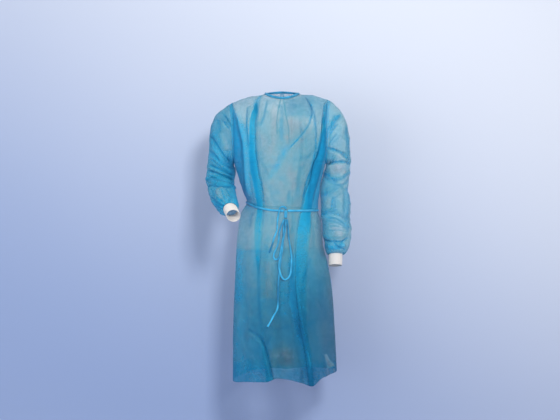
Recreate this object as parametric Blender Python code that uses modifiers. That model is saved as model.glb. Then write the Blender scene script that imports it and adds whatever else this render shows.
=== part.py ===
"""Visitor gown of thin non-woven cloth, in the hollow form that it takes when it is worn.

Units are metres. The front faces -Y, the wearer's left is +X, and the origin is the middle of the neck
opening at the height of the neck points. Every cloth piece is an open surface whose wall grows inwards.
"""

import math

import bmesh
import bpy
import numpy as np
from mathutils import Vector
from mathutils.bvhtree import BVHTree

# Walls, gaps and trims.
WALL = 0.0012
CUFF_WALL = 0.0018
SEAM_GAP = 0.0003
BINDING_HEIGHT = 0.009
BINDING_THICKNESS = 0.003
BINDING_LEAN = 0.6
TAPE_WIDTH = 0.008
TIE_WIDTH = 0.0056
TAPE_THICKNESS = 0.0014
BELT_WIDTH = 0.009
BELT_CLEARANCE = 0.00096
BELT_POINTS = 64
CUFF_LENGTH = 0.043
CUFF_RADIUS = 0.0268

# The body is measured by levels: 0 neckline, 2 shoulder point, 6 underarm, 9 belt, 14 hem.
SHOULDER, UNDERARM, BELT, HEM = 2, 6, 9, 14
NECK_HALF_WIDTH = 0.070
NECK_POINT_Z = -0.005
SHOULDER_CROWN = 0.005
SHOULDER_X, SHOULDER_Z = {-1: -0.195, 1: 0.178}, {-1: -0.038, 1: -0.026}
UNDERARM_X, UNDERARM_Z = {-1: -0.187, 1: 0.170}, {-1: -0.272, 1: -0.268}
ARMHOLE_DEPTH = 0.072
ARMHOLE_SCOOP = 0.004
ROW_POWER = 1.7
ARMHOLE_STEPS = 7
HEM_LINE_FROM = 11
ROW_STEPS = 16
LEVELS_ABOVE_ARM = (0, 0.65, 1.3)
LEVELS_AT_BELT = (8.8, 9.2)
LEVELS_BELOW_ARM = (6.8, 7.6, 8.35, 8.85, 9.15, 9.6, 10.3, 11, 11.8, 12.6, 13.3, 14)

# Pleats: the cloth doubles back over its reach, and the top layer sinks away over PLEAT_FADE reaches.
PLEAT_REACH = 0.012
PLEAT_DEPTH = 0.011
PLEAT_FADE = 3.0
PLEAT_FULL_BAND = 0.010
PLEAT_PRESSED = 0.35
PLEAT_PRESSED_LEVELS = 0.4
MOST_PLEAT_S = 0.90
SEAM_STRIP = 0.03
FOLD_FADE = 0.1

# The back opening: the wearer's left back lies over the right one. Each change with the level is full there.
BACK_OVERLAP = 0.040
NECK_OVERLAP = 0.012
OVERLAP_FULL_LEVEL = 3
BACK_LIFT = 0.0035
NECK_LIFT = 0.0017
LIFT_FULL_LEVEL = 1.5
NECK_STAND_LEVELS = 1.3
LIFT_STARTS, LIFT_GROWS_OVER = 0.75, 0.35

# Knots: centre and size. Each strand of the bow lies on the cloth and on the strands before it.
BELT_KNOT = (0.0137, -0.4725)
BELT_KNOT_SIZE = (0.013, 0.009, 0.034)
NECK_KNOT_SIZE = (0.012, 0.010, 0.0095)
NECK_KNOT_GAP = (0.0008, 0.0006)
KNOT_ROUNDING = 0.003
STRAND_CLEARANCE = 0.0010
STRAND_STEP = 0.005
STRAND_EASING = 3
ROUTE_POINTS = 20
OUTLINE_POINTS = 720


def table(columns, *rows):
    """Named columns from rows of numbers."""
    return dict(zip(columns.split(), np.array(rows, float).T))


# Centre line of the front and of the back, at each level.
CENTRE = table(
    "level front_y front_z back_y back_z",
    (0, -0.074, -0.031, 0.065, 0.005),
    (1, -0.098, -0.055, 0.092, -0.014),
    (2, -0.118, -0.090, 0.112, -0.045),
    (3, -0.130, -0.130, 0.124, -0.100),
    (4, -0.138, -0.180, 0.134, -0.170),
    (5, -0.139, -0.235, 0.135, -0.235),
    (6, -0.137, -0.275, 0.134, -0.275),
    (7, -0.130, -0.340, 0.122, -0.340),
    (8, -0.118, -0.400, 0.108, -0.400),
    (9, -0.108, -0.459, 0.098, -0.445),
    (10, -0.122, -0.505, 0.116, -0.500),
    (11, -0.144, -0.580, 0.138, -0.580),
    (12, -0.160, -0.750, 0.156, -0.750),
    (13, -0.172, -0.930, 0.168, -0.930),
    (14, -0.178, -1.100, 0.176, -1.100),
)
# Side seams, from the underarm down. Left and right are the wearer's.
SIDE = table(
    "level right_x right_z left_x left_z",
    (6, -0.187, -0.272, 0.170, -0.268),
    (7, -0.166, -0.340, 0.151, -0.340),
    (8, -0.148, -0.392, 0.143, -0.402),
    (9, -0.137, -0.425, 0.140, -0.457),
    (10, -0.160, -0.470, 0.153, -0.500),
    (11, -0.176, -0.580, 0.158, -0.580),
    (12, -0.184, -0.750, 0.193, -0.750),
    (13, -0.190, -0.930, 0.206, -0.930),
    (14, -0.192, -1.120, 0.2135, -1.080),
)
# How far each half row turns from the centre line to its edge, in degrees.
TURN = table("level angle", (0, 90), (2, 90), (3, 70), (4, 56), (5, 68), (6, 90), (14, 90))
HEM_LINE = table(
    "x z",
    (-0.192, -1.120),
    (-0.120, -1.103),
    (-0.060, -1.100),
    (-0.020, -1.086),
    (0.030, -1.093),
    (0.080, -1.106),
    (0.112, -1.118),
    (0.150, -1.087),
    (0.2135, -1.080),
)

# The two knife pleats of the front: the edges of the visible band, and the side that its top layer lies on.
RIGHT_PLEAT = table(
    "level left right",
    (0.9, -0.096, -0.094),
    (2.3, -0.112, -0.094),
    (3.6, -0.122, -0.104),
    (4.9, -0.125, -0.101),
    (6.45, -0.122, -0.091),
    (7.2, -0.110, -0.081),
    (7.9, -0.102, -0.075),
    (9.0, -0.096, -0.072),
    (10.7, -0.101, -0.076),
    (12.0, -0.088, -0.087),
    (12.9, -0.083, -0.081),
    (13.4, -0.074, -0.057),
    (14.0, -0.058, -0.032),
)
LEFT_PLEAT = table(
    "level left right",
    (2.3, 0.170, 0.171),
    (3.45, 0.164, 0.170),
    (4.0, 0.157, 0.170),
    (4.7, 0.143, 0.166),
    (5.85, 0.125, 0.157),
    (7.2, 0.103, 0.137),
    (7.95, 0.086, 0.122),
    (9.0, 0.073, 0.113),
    (10.1, 0.061, 0.111),
    (11.2, 0.053, 0.097),
    (11.85, 0.052, 0.092),
    (12.75, 0.067, 0.092),
    (13.25, 0.084, 0.108),
    (14.0, 0.102, 0.119),
)
PLEATS = ((RIGHT_PLEAT, -1), (LEFT_PLEAT, 1))

# Soft folds: the path of each crest or hollow, its height (negative for a hollow), and its half width.
FRONT_FOLDS = (
    (0.018, table("level x height", (2.2, -0.182, 0), (3.6, -0.164, 0.008), (4.7, -0.1445, 0.010),
                  (7.0, -0.139, 0.008), (8.6, -0.122, 0))),
    (0.060, table("level x height", (9.6, 0.000, 0), (11.2, 0.004, -0.014), (12.5, 0.006, -0.024),
                  (14.0, 0.024, -0.022))),
    (0.024, table("level x height", (9.8, 0.040, 0), (11.2, 0.040, -0.012), (12.2, 0.040, -0.016),
                  (13.0, 0.058, -0.015), (14.0, 0.088, -0.010))),
    (0.042, table("level x height", (9.4, -0.105, 0), (10.5, -0.105, 0.010), (12.5, -0.112, 0.008),
                  (14.0, -0.120, 0.010))),
    (0.040, table("level x height", (9.4, 0.105, 0), (11.0, 0.112, 0.008), (12.6, 0.130, 0.010),
                  (14.0, 0.150, 0.012))),
)
BACK_FOLDS = (
    (0.050, table("level x height", (9.5, 0.076, 0), (11.0, 0.080, 0.012), (14.0, 0.104, 0.018))),
    (0.044, table("level x height", (9.5, -0.084, 0), (11.2, -0.090, 0.010), (14.0, -0.108, 0.016))),
    (0.036, table("level x height", (9.9, 0.010, 0), (12.0, 0.014, -0.010), (14.0, 0.020, -0.015))),
    (0.030, table("level x height", (1.5, -0.075, 0), (3.8, -0.092, 0.007), (6.5, -0.088, 0.009),
                  (8.6, -0.070, 0))),
    (0.034, table("level x height", (1.8, 0.080, 0), (4.4, 0.086, 0.008), (6.8, 0.074, 0.008),
                  (8.6, 0.066, 0))),
)

# Sleeves, a row for each ring from the armhole: centre, half width across, its lean in degrees from
# outwards to up, and half width through.
LEFT_SLEEVE = table(
    "ring x y z across lean through",
    (0, 0.1740, 0.000, -0.1490, 0.1190, 88.0, 0.072),
    (1, 0.1935, 0.000, -0.1600, 0.1110, 84.0, 0.077),
    (2, 0.2075, 0.002, -0.1735, 0.1047, 78.2, 0.080),
    (3, 0.2170, 0.004, -0.1905, 0.0950, 72.2, 0.078),
    (4, 0.2210, 0.006, -0.2190, 0.0783, 61.8, 0.074),
    (5, 0.2185, 0.008, -0.2575, 0.0630, 42.4, 0.068),
    (6, 0.2125, 0.008, -0.3040, 0.0570, 24.2, 0.064),
    (7, 0.2085, 0.006, -0.3565, 0.0550, 11.9, 0.061),
    (8, 0.2075, 0.002, -0.4025, 0.0535, 3.0, 0.060),
    (9, 0.2110, -0.004, -0.4700, 0.0560, 0.0, 0.058),
    (10, 0.2150, -0.010, -0.5400, 0.0530, 0.0, 0.055),
    (11, 0.2150, -0.016, -0.5850, 0.0490, 0.0, 0.050),
    (12, 0.2115, -0.019, -0.6100, 0.0430, 0.0, 0.043),
    (13, 0.2090, -0.021, -0.6240, 0.0340, 0.0, 0.034),
    (14, 0.2080, -0.022, -0.6280, 0.0272, 0.0, 0.0272),
)
RIGHT_SLEEVE = table(
    "ring x y z across lean through",
    (0, -0.1910, 0.000, -0.1560, 0.1160, 88.0, 0.072),
    (1, -0.2065, 0.000, -0.1675, 0.1106, 82.0, 0.077),
    (2, -0.2220, 0.002, -0.1840, 0.1029, 74.2, 0.080),
    (3, -0.2330, 0.004, -0.2050, 0.0927, 66.5, 0.078),
    (4, -0.2375, 0.006, -0.2375, 0.0767, 54.5, 0.074),
    (5, -0.2370, 0.009, -0.2780, 0.0630, 37.4, 0.068),
    (6, -0.2385, 0.011, -0.3140, 0.0550, 19.0, 0.061),
    (7, -0.2405, 0.006, -0.3470, 0.0540, 6.0, 0.056),
    (8, -0.2370, -0.024, -0.3760, 0.0520, 0.0, 0.052),
    (9, -0.2270, -0.066, -0.4000, 0.0490, -3.0, 0.050),
    (10, -0.2170, -0.110, -0.4240, 0.0455, -3.0, 0.047),
    (11, -0.2050, -0.146, -0.4420, 0.0390, -3.0, 0.040),
    (12, -0.1960, -0.166, -0.4510, 0.0320, -3.0, 0.032),
    (13, -0.1935, -0.171, -0.4535, 0.0272, -3.0, 0.0272),
)
SLEEVES = {-1: RIGHT_SLEEVE, 1: LEFT_SLEEVE}
SLEEVE_RINGS = {
    -1: (0, 0.6, 1.3, 2, 2.9, 3.7, 4.4, 5, 5.6, 6.3, 7, 7.6, 8.2, 9, 10, 11, 12, 13),
    1: (0, 0.6, 1.3, 2, 2.8, 3.6, 4.4, 5.2, 6, 6.8, 7.7, 8.6, 9.5, 10.4, 11.3, 12.2, 13.1, 14),
}
CUFF_DIRECTION = {-1: (0.30, -0.78, -0.55), 1: (-0.04, -0.10, -0.994)}

# The bow's strands, as x and z on the skirt, from the knot outwards.
LONG_LOOP = (
    (0.0195, -0.4905), (0.0220, -0.5170), (0.0234, -0.5460), (0.0270, -0.5710), (0.0300, -0.5910),
    (0.0335, -0.6140), (0.0360, -0.6360), (0.0350, -0.6660), (0.0310, -0.6960), (0.0210, -0.7130),
    (0.0110, -0.7180), (0.0000, -0.7100), (-0.0080, -0.6910), (-0.0120, -0.6660), (-0.0100, -0.6470),
    (-0.0040, -0.6290), (0.0000, -0.6060), (0.0040, -0.5760), (0.0060, -0.5560), (0.0050, -0.5340),
    (0.0060, -0.5150), (0.0075, -0.4905),
)
SHORT_LOOP = (
    (0.0080, -0.4905), (-0.0030, -0.5140), (-0.0105, -0.5420), (-0.0125, -0.5670), (-0.0176, -0.5910),
    (-0.0270, -0.6120), (-0.0320, -0.6310), (-0.0245, -0.6430), (-0.0140, -0.6380), (-0.0070, -0.6180),
    (-0.0020, -0.5930), (0.0040, -0.5650), (0.0110, -0.5350), (0.0150, -0.4905),
)
SHORT_END = (
    (0.0155, -0.4540), (0.0120, -0.4465), (0.0020, -0.4425), (-0.0075, -0.4470), (-0.0115, -0.4620),
    (-0.0150, -0.4800), (-0.0175, -0.5010), (-0.0185, -0.5260), (-0.0235, -0.5440), (-0.0300, -0.5600),
    (-0.0374, -0.5870), (-0.0488, -0.6160),
)
LONG_END = (
    (0.0120, -0.4905), (0.0050, -0.5420), (0.0000, -0.5930), (-0.0050, -0.6435), (-0.0100, -0.6825),
    (-0.0140, -0.7290), (-0.0156, -0.7760), (-0.0165, -0.8190), (-0.0350, -0.8580), (-0.0546, -0.8930),
)
# The neck ties hang from the nape, as x and z on the back.
NECK_TIES = {
    -1: ((-0.0030, 0.0115), (-0.0070, -0.0180), (-0.0160, -0.0600), (-0.0210, -0.1050), (-0.0190, -0.1500)),
    1: ((0.0030, 0.0115), (0.0080, -0.0200), (0.0150, -0.0700), (0.0260, -0.1250), (0.0290, -0.1850)),
}


def smooth(rows, column, at, key="level"):
    """The column's value at any place: a cubic through the rows that never overshoots them."""
    place, value = rows[key], rows[column]
    step = np.diff(place)
    slope = np.diff(value) / step
    product = slope[:-1] * slope[1:]
    total = np.where(product > 0, slope[:-1] + slope[1:], 1)
    inner = np.where(product > 0, 2 * product / total, 0)
    tangent = np.concatenate([slope[:1], inner, slope[-1:]])
    at = np.clip(at, place[0], place[-1])
    i = np.clip(np.searchsorted(place, at, side="right") - 1, 0, len(step) - 1)
    t = (at - place[i]) / step[i]
    return (
        value[i] * (1 + 2 * t) * (1 - t) ** 2
        + value[i + 1] * (3 - 2 * t) * t**2
        + step[i] * t * (1 - t) * (tangent[i] * (1 - t) - tangent[i + 1] * t)
    )


def ease(t):
    t = np.clip(t, 0, 1)
    return t * t * (3 - 2 * t)


def unit(vectors):
    return vectors / np.linalg.norm(vectors, axis=-1, keepdims=True)


def body_edge(face, level, side):
    """The edge of a body panel: shoulder seam, then armhole, then side seam. face is -1 in front."""
    seam = "left" if side > 0 else "right"
    along = level / SHOULDER
    shoulder_x = side * NECK_HALF_WIDTH + (SHOULDER_X[side] - side * NECK_HALF_WIDTH) * along
    round_arm = np.clip((level - SHOULDER) / (UNDERARM - SHOULDER), 0, 1)
    arm = math.pi * round_arm
    arm_x = SHOULDER_X[side] + (UNDERARM_X[side] - SHOULDER_X[side]) * round_arm
    arm_x = arm_x - side * ARMHOLE_SCOOP * np.sin(arm)
    middle = (SHOULDER_Z[side] + UNDERARM_Z[side]) / 2
    half = (SHOULDER_Z[side] - UNDERARM_Z[side]) / 2
    above, below = level < SHOULDER, level > UNDERARM
    x = np.where(above, shoulder_x, np.where(below, smooth(SIDE, seam + "_x", level), arm_x))
    z_side = smooth(SIDE, seam + "_z", level)
    shoulder_z = NECK_POINT_Z + (SHOULDER_Z[side] - NECK_POINT_Z) * along
    shoulder_z = shoulder_z + SHOULDER_CROWN * np.sin(math.pi * np.clip(along, 0, 1)) ** 2
    z = np.where(above, shoulder_z, np.where(below, z_side, middle + half * np.cos(arm)))
    return x, face * ARMHOLE_DEPTH * np.sin(arm), z


def body(face, level, s):
    """A point of the body before it is folded. s runs from -1 at one edge through 0 at the centre to 1."""
    level, s = np.broadcast_arrays(np.asarray(level, float), np.clip(s, -1, 1))
    right, left = body_edge(face, level, -1), body_edge(face, level, 1)
    edge_x, edge_y, edge_z = (np.where(s < 0, a, b) for a, b in zip(right, left))
    name = "front" if face < 0 else "back"
    centre_y, centre_z = smooth(CENTRE, name + "_y", level), smooth(CENTRE, name + "_z", level)
    turn = np.radians(smooth(TURN, "angle", level))
    angle = np.abs(s) * turn
    x = edge_x * np.sin(angle) / np.sin(turn)
    inward = (np.cos(angle) - np.cos(turn)) / (1 - np.cos(turn))
    y = edge_y + (centre_y - edge_y) * inward + face * SEAM_GAP / 2
    z = edge_z + (centre_z - edge_z) * np.cos(np.abs(s) * math.pi / 2) ** ROW_POWER
    if face < 0:
        hem_z = body_edge(face, float(HEM), -1)[2], body_edge(face, float(HEM), 1)[2]
        plain = np.where(s < 0, hem_z[0], hem_z[1])
        plain = plain + (CENTRE["front_z"][-1] - plain) * np.cos(np.abs(s) * math.pi / 2) ** ROW_POWER
        near_hem = (np.clip(level, HEM_LINE_FROM, HEM) - HEM_LINE_FROM) / (HEM - HEM_LINE_FROM)
        z = z + near_hem**2 * (smooth(HEM_LINE, "z", x, "x") - plain)
    return np.stack([x, y, z], axis=-1)


def outward(face, level, s):
    """The body's normal there."""
    step = 1e-3
    low, high = np.clip(level - step, 0, HEM), np.clip(level + step, 0, HEM)
    down = body(face, high, s) - body(face, low, s)
    along = body(face, level, np.clip(s + step, -1, 1)) - body(face, level, np.clip(s - step, -1, 1))
    return -face * unit(np.cross(down, along))


def half_girth(face, level, side):
    """The length of the row from the centre line to one edge."""
    points = body(face, level[..., None], np.linspace(0, side, ROW_STEPS + 1))
    return np.linalg.norm(np.diff(points, axis=-2), axis=-1).sum(axis=-1)


def s_of_x(face, level, x):
    """Where a row passes the distance x from the centre line."""
    side = -1 if np.mean(x) < 0 else 1
    turn = np.radians(smooth(TURN, "angle", level))
    return side * np.arcsin(np.clip(x / body_edge(face, level, side)[0], 0, 1) * np.sin(turn)) / turn


def fold_height(folds, level, x):
    height = np.zeros(np.broadcast(level, x).shape)
    for half_width, path in folds:
        away = np.clip(np.abs(x - smooth(path, "x", level)) / half_width, 0, 1)
        inside = (level >= path["level"][0]) & (level <= path["level"][-1])
        height += inside * smooth(path, "height", level) * np.cos(away * math.pi / 2) ** 2
    return height


def pleat_at(pleat, level):
    """A pleat's middle and reach as s, its side shift as s, and its depth."""
    started = np.maximum(level, pleat["level"][0])
    left = s_of_x(-1, started, smooth(pleat, "left", level))
    right = s_of_x(-1, started, smooth(pleat, "right", level))
    side = -1 if pleat["left"][0] < 0 else 1
    girth = half_girth(-1, level, side)
    middle = np.clip((left + right) / 2, -MOST_PLEAT_S, MOST_PLEAT_S)
    band = (right - left) * girth
    reach = np.minimum(PLEAT_REACH / girth, (1 - SEAM_STRIP - np.abs(middle)) / (PLEAT_FADE + 0.2))
    strength = ease(band / PLEAT_FULL_BAND) * (level >= pleat["level"][0])
    pressed = 1 - PLEAT_PRESSED * np.exp(-(((level - BELT) / PLEAT_PRESSED_LEVELS) ** 2))
    return middle, reach, strength * (band / girth + reach) / 2, strength * pressed * PLEAT_DEPTH


def pleat_rise(t):
    """The cross-section of a pleat: under layer at -0.5, top layer at 0.5, both sinking away outside."""
    size = np.abs(t)
    inner = np.sin(np.clip(size / 0.9, 0, 1) * math.pi / 2) ** 3
    outer = np.cos(np.clip((size - 0.9) / (PLEAT_FADE - 0.9), 0, 1) * math.pi / 2) ** 2
    return 0.5 * np.sign(t) * inner * outer


def stretched(stops, cloth):
    """Places between the stops of each row: whole numbers of cloth are the stops themselves."""
    stops = np.stack(stops, axis=-1)
    k = np.clip(np.floor(cloth).astype(int), 0, stops.shape[-1] - 2)
    return stops[:, k] + (stops[:, k + 1] - stops[:, k]) * (cloth - k)


def front_points(level, cloth):
    """The front, folded. cloth counts 0 to 7: seam and its strip, pleat from 2 to 3, pleat 4 to 5, strip."""
    pleats = [pleat_at(pleat, level) for pleat, _ in PLEATS]
    edge = np.ones_like(level)
    stops = [-edge, (SEAM_STRIP - 1) * edge]
    for middle, reach, _, _ in pleats:
        stops += [middle - PLEAT_FADE * reach, middle + PLEAT_FADE * reach]
    s = stretched(stops + [(1 - SEAM_STRIP) * edge, edge], cloth)
    shift, lift = np.zeros_like(s), np.zeros_like(s)
    for (_, top), (middle, reach, over, depth) in zip(PLEATS, pleats):
        t = (s - middle[:, None]) / reach[:, None]
        shift -= over[:, None] * np.sin(math.pi * np.clip(t, -1, 1))
        lift += depth[:, None] * pleat_rise(top * t)
    level = level[:, None]
    placed = np.clip(s + shift, -1, 1)
    point = body(-1, level, placed)
    lift = lift + fold_height(FRONT_FOLDS, level, point[..., 0])
    lift = lift * ease((1 - SEAM_STRIP - np.abs(placed)) / FOLD_FADE)
    return point + outward(-1, level, placed) * lift[..., None]


def back_points(side, level, cloth):
    """One back panel, folded. cloth is 0 at its side seam, 2 where the overlap starts, 3 at its free edge."""
    overlap = NECK_OVERLAP + (BACK_OVERLAP - NECK_OVERLAP) * ease(level / OVERLAP_FULL_LEVEL)
    past = 2 * overlap / (half_girth(1, level, -1) + half_girth(1, level, 1))
    edge = np.ones_like(level)
    s = stretched([side * edge, side * (1 - SEAM_STRIP) * edge, side * past, -side * past], cloth)
    level = level[:, None]
    point = body(1, level, s)
    normal = outward(1, level, s)
    lift = fold_height(BACK_FOLDS, level, point[..., 0])
    lift = lift * ease((1 - SEAM_STRIP - np.abs(s)) / FOLD_FADE)
    point = point + normal * lift[..., None]
    if side < 0:
        return point
    # The outer back lies on the inner one, and at the neckline it stands behind it, no higher.
    over = NECK_LIFT + (BACK_LIFT - NECK_LIFT) * ease(level / LIFT_FULL_LEVEL)
    over = over * ease((LIFT_STARTS - s) / LIFT_GROWS_OVER)
    level_out = 1 - ease(level / NECK_STAND_LEVELS)[..., None]
    aside = unit(normal * (1 - level_out) + np.array([0, 1, 0]) * level_out)
    return point + aside * (over / (aside * normal).sum(axis=-1))[..., None]


def sleeve_points(side, ring, around):
    """A sleeve's tube. around is an angle: 0 at the shoulder or outer side, a quarter turn in front."""
    rows = SLEEVES[side]

    def centre(at):
        return np.stack([smooth(rows, axis, at, "ring") for axis in "xyz"], axis=-1)

    def tube(at):
        step = 0.05
        lean = np.radians(smooth(rows, "lean", at, "ring"))
        across = np.stack([side * np.cos(lean), np.zeros_like(lean), np.sin(lean)], axis=-1)
        last = rows["ring"][-1]
        along = unit(centre(np.clip(at + step, 0, last)) - centre(np.clip(at - step, 0, last)))
        through = -side * unit(np.cross(across, along))
        across = across * smooth(rows, "across", at, "ring")[..., None]
        through = through * smooth(rows, "through", at, "ring")[..., None]
        return (
            centre(at)[:, None]
            + across[:, None] * np.cos(around)[None, :, None]
            + through[:, None] * np.sin(around)[None, :, None]
        )

    face = np.where(np.sin(around) > 0, -1, 1)
    turned = SHOULDER + (UNDERARM - SHOULDER) * np.abs(around) / math.pi
    x, y, z = body_edge(face, turned, side)
    armhole = np.stack([x + side * SEAM_GAP, y, z], axis=-1)
    fading = (1 - ease(ring / 1.5))[:, None, None]
    return tube(ring) + (armhole - tube(np.zeros(1))) * fading


def spline(points, count):
    """count points spaced evenly along a smooth curve through the given ones."""
    points = np.array(points, float)
    gaps = np.linalg.norm(np.diff(points, axis=0), axis=1)
    place = np.concatenate([[0], np.cumsum(gaps)])
    rows = dict(zip("xyz", points.T), place=place)
    fine = np.linspace(0, place[-1], 12 * len(points))
    curve = np.stack([smooth(rows, axis, fine, "place") for axis in "xyz"[: points.shape[1]]], axis=-1)
    length = np.concatenate([[0], np.cumsum(np.linalg.norm(np.diff(curve, axis=0), axis=1))])
    even = np.linspace(0, length[-1], count)
    return np.stack([np.interp(even, length, curve[:, i]) for i in range(curve.shape[1])], axis=-1)


def clear_scene():
    for obj in list(bpy.data.objects):
        bpy.data.objects.remove(obj, do_unlink=True)


def material(name, colour, roughness):
    made = bpy.data.materials.new(name)
    made.use_nodes = True
    shader = made.node_tree.nodes["Principled BSDF"]
    shader.inputs["Base Color"].default_value = (*colour, 1)
    shader.inputs["Roughness"].default_value = roughness
    shader.inputs["Metallic"].default_value = 0
    return made


def cloth_object(name, points, wall, finish, grows=-1, tube=False):
    """A grid moved onto rows of points, left to right and down as seen from outside, with its wall."""
    rows, columns = points.shape[0] - 1, points.shape[1] - 1
    bm = bmesh.new()
    bmesh.ops.create_grid(bm, x_segments=columns, y_segments=rows, size=1)
    for vertex in bm.verts:
        row = round((1 - vertex.co.y) / 2 * rows)
        column = round((1 + vertex.co.x) / 2 * columns)
        vertex.co = points[row, column]
    if tube:
        bmesh.ops.remove_doubles(bm, verts=bm.verts, dist=1e-6)
    mesh = bpy.data.meshes.new(name)
    bm.to_mesh(mesh)
    bm.free()
    mesh.materials.append(finish)
    mesh.shade_smooth()
    obj = bpy.data.objects.new(name, mesh)
    GOWN.objects.link(obj)
    thicken = obj.modifiers.new("wall", "SOLIDIFY")
    thicken.thickness = wall
    thicken.offset = grows
    return obj


def tape_rows(path, width, facing):
    """The two edges of a flat tape along a path, with its broad side to the given direction."""
    along = unit(np.gradient(path, axis=0))
    across = unit(np.cross(np.broadcast_to(facing, path.shape), along)) * width / 2
    return np.stack([path - across, path + across], axis=1)


def knot_object(name, centre, size, lean, finish):
    """A rounded lump of tape, leaning forward by an angle."""
    bm = bmesh.new()
    bmesh.ops.create_cube(bm, size=1)
    bmesh.ops.scale(bm, vec=size, verts=bm.verts)
    mesh = bpy.data.meshes.new(name)
    bm.to_mesh(mesh)
    bm.free()
    mesh.materials.append(finish)
    obj = bpy.data.objects.new(name, mesh)
    obj.location = centre
    obj.rotation_euler = (lean, 0, 0)
    GOWN.objects.link(obj)
    rounding = obj.modifiers.new("rounding", "BEVEL")
    rounding.width = KNOT_ROUNDING
    rounding.segments = 2
    return obj


def surface_tree(points):
    """A tree of one grid's quads, to lay other pieces on it."""
    rows, columns = points.shape[:2]
    index = np.arange(rows * columns).reshape(rows, columns)
    quads = np.stack([index[:-1, :-1], index[1:, :-1], index[1:, 1:], index[:-1, 1:]], axis=-1)
    return BVHTree.FromPolygons([Vector(p) for p in points.reshape(-1, 3)], quads.reshape(-1, 4).tolist())


def outermost(trees, face, x, z, reach):
    """How far out the cloth comes round (x, z), within reach of it."""
    found = []
    for tree in trees:
        for dx in (-reach, 0, reach):
            for dz in (-reach, 0, reach):
                hit = tree.ray_cast(Vector((x + dx, face, z + dz)), Vector((0, -face, 0)))[0]
                if hit:
                    found.append(face * hit.y)
    return face * max(found) if found else None


def laid_on(trees, face, route, count, clearance):
    """A strand's path: the route's x and z, and y just outside the cloth, with no sharp turn in it."""
    rough = spline(route, ROUTE_POINTS)
    steps = int(np.linalg.norm(np.diff(rough, axis=0), axis=1).sum() / STRAND_STEP)
    flat = spline(route, steps)
    need = [outermost(trees, face, x, z, TIE_WIDTH) for x, z in flat]
    known = [i for i, y in enumerate(need) if y is not None]
    need = face * np.interp(range(steps), known, [need[i] for i in known])
    padded = np.pad(need, STRAND_EASING, mode="edge")
    widest = np.max([padded[i : i + steps] for i in range(2 * STRAND_EASING + 1)], axis=0)
    for _ in range(STRAND_EASING):
        padded = np.pad(widest, 1, mode="edge")
        widest = (padded[:-2] + 2 * padded[1:-1] + padded[2:]) / 4
    path = np.stack([flat[:, 0], face * (widest + clearance), flat[:, 1]], axis=-1)
    place = np.linspace(0, steps - 1, count)
    return np.stack([np.interp(place, range(steps), path[:, i]) for i in range(3)], axis=-1)


def convex_outline(points):
    """The plan outline of a taut band round the points, anticlockwise."""
    ordered = sorted(map(tuple, points))

    def chain(sequence):
        line = []
        for point in sequence:
            while len(line) > 1:
                (ax, ay), (bx, by) = line[-2:]
                if (bx - ax) * (point[1] - ay) - (by - ay) * (point[0] - ax) > 0:
                    break
                line.pop()
            line.append(point)
        return line[:-1]

    return np.array(chain(ordered) + chain(ordered[::-1]))


def band_round(cloud, middle, clearance, start, gap, count):
    """A band's path round the cloud of points at the heights of the middle row, open by the gap at start."""
    outline = convex_outline(cloud[:, :2])
    closed = np.vstack([outline, outline[:1]])
    length = np.concatenate([[0], np.cumsum(np.linalg.norm(np.diff(closed, axis=0), axis=1))])
    dense = np.linspace(0, length[-1], OUTLINE_POINTS, endpoint=False)
    ring = np.stack([np.interp(dense, length, closed[:, i]) for i in (0, 1)], axis=-1)
    first = np.argmin(np.linalg.norm(ring - np.array(start), axis=1))
    ring = np.roll(ring, -first, axis=0)
    spacing = length[-1] / len(ring)
    skip = int(math.ceil(gap / 2 / spacing))
    kept = ring[skip : len(ring) - skip + 1]
    path = kept[np.linspace(0, len(kept) - 1, count).astype(int)]
    tangent = unit(np.gradient(path, axis=0))
    path = path + np.stack([tangent[:, 1], -tangent[:, 0]], axis=-1) * clearance
    angle = np.arctan2(middle[:, 1], middle[:, 0])
    z = np.interp(np.arctan2(path[:, 1], path[:, 0]), angle, middle[:, 2], period=2 * math.pi)
    return np.column_stack([path, z])


def level_list():
    arm = np.linspace(SHOULDER, UNDERARM, ARMHOLE_STEPS + 1)
    return np.concatenate([LEVELS_ABOVE_ARM, arm, LEVELS_BELOW_ARM])


def front_columns():
    """Where the front's columns stand: even between the pleats, close together on their folds."""
    folded = np.array([-3, -1, -0.7, -0.5, -0.3, 0.3, 0.5, 0.7, 1, 3]) / (2 * PLEAT_FADE) + 0.5
    plain = [np.linspace(start, start + 1, count)[1:-1] for start, count in ((1, 6), (3, 8), (5, 4))]
    return np.concatenate([[0, 1], plain[0], 2 + folded, plain[1], 4 + folded, plain[2], [6, 7]])


def back_columns():
    return np.concatenate([[0], np.linspace(1, 2, 6)[:-1], np.linspace(2, 3, 5)])


def make_body(blue):
    levels = level_list()
    front = front_points(levels, front_columns())
    cloth_object("front", front, WALL, blue)
    grids = {"front": front}
    for name, side in (("back_left", 1), ("back_right", -1)):
        grid = back_points(side, levels, back_columns())
        grids[name] = grid if side > 0 else grid[:, ::-1]
        cloth_object(name, grids[name], WALL, blue)
    return grids


def make_sleeves(blue, knit):
    for name, side in (("left", 1), ("right", -1)):
        around = side * np.linspace(math.pi, -math.pi, 2 * ARMHOLE_STEPS + 1)
        tube = sleeve_points(side, np.array(SLEEVE_RINGS[side], float), around)
        cloth_object(f"sleeve_{name}", tube, WALL, blue, tube=True)
        rows = SLEEVES[side]
        end = np.array([rows[axis][-1] for axis in "xyz"])
        along = unit(np.array(CUFF_DIRECTION[side]))
        wrist = tube[-1] - end
        wrist = wrist * (CUFF_RADIUS / np.linalg.norm(wrist, axis=1))[:, None]
        places = SEAM_GAP + CUFF_LENGTH * np.linspace(0, 1, 4)
        cuff = end + wrist[None] + along * places[:, None, None]
        cloth_object(f"cuff_{name}", cuff, CUFF_WALL, knit, tube=True)


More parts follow.
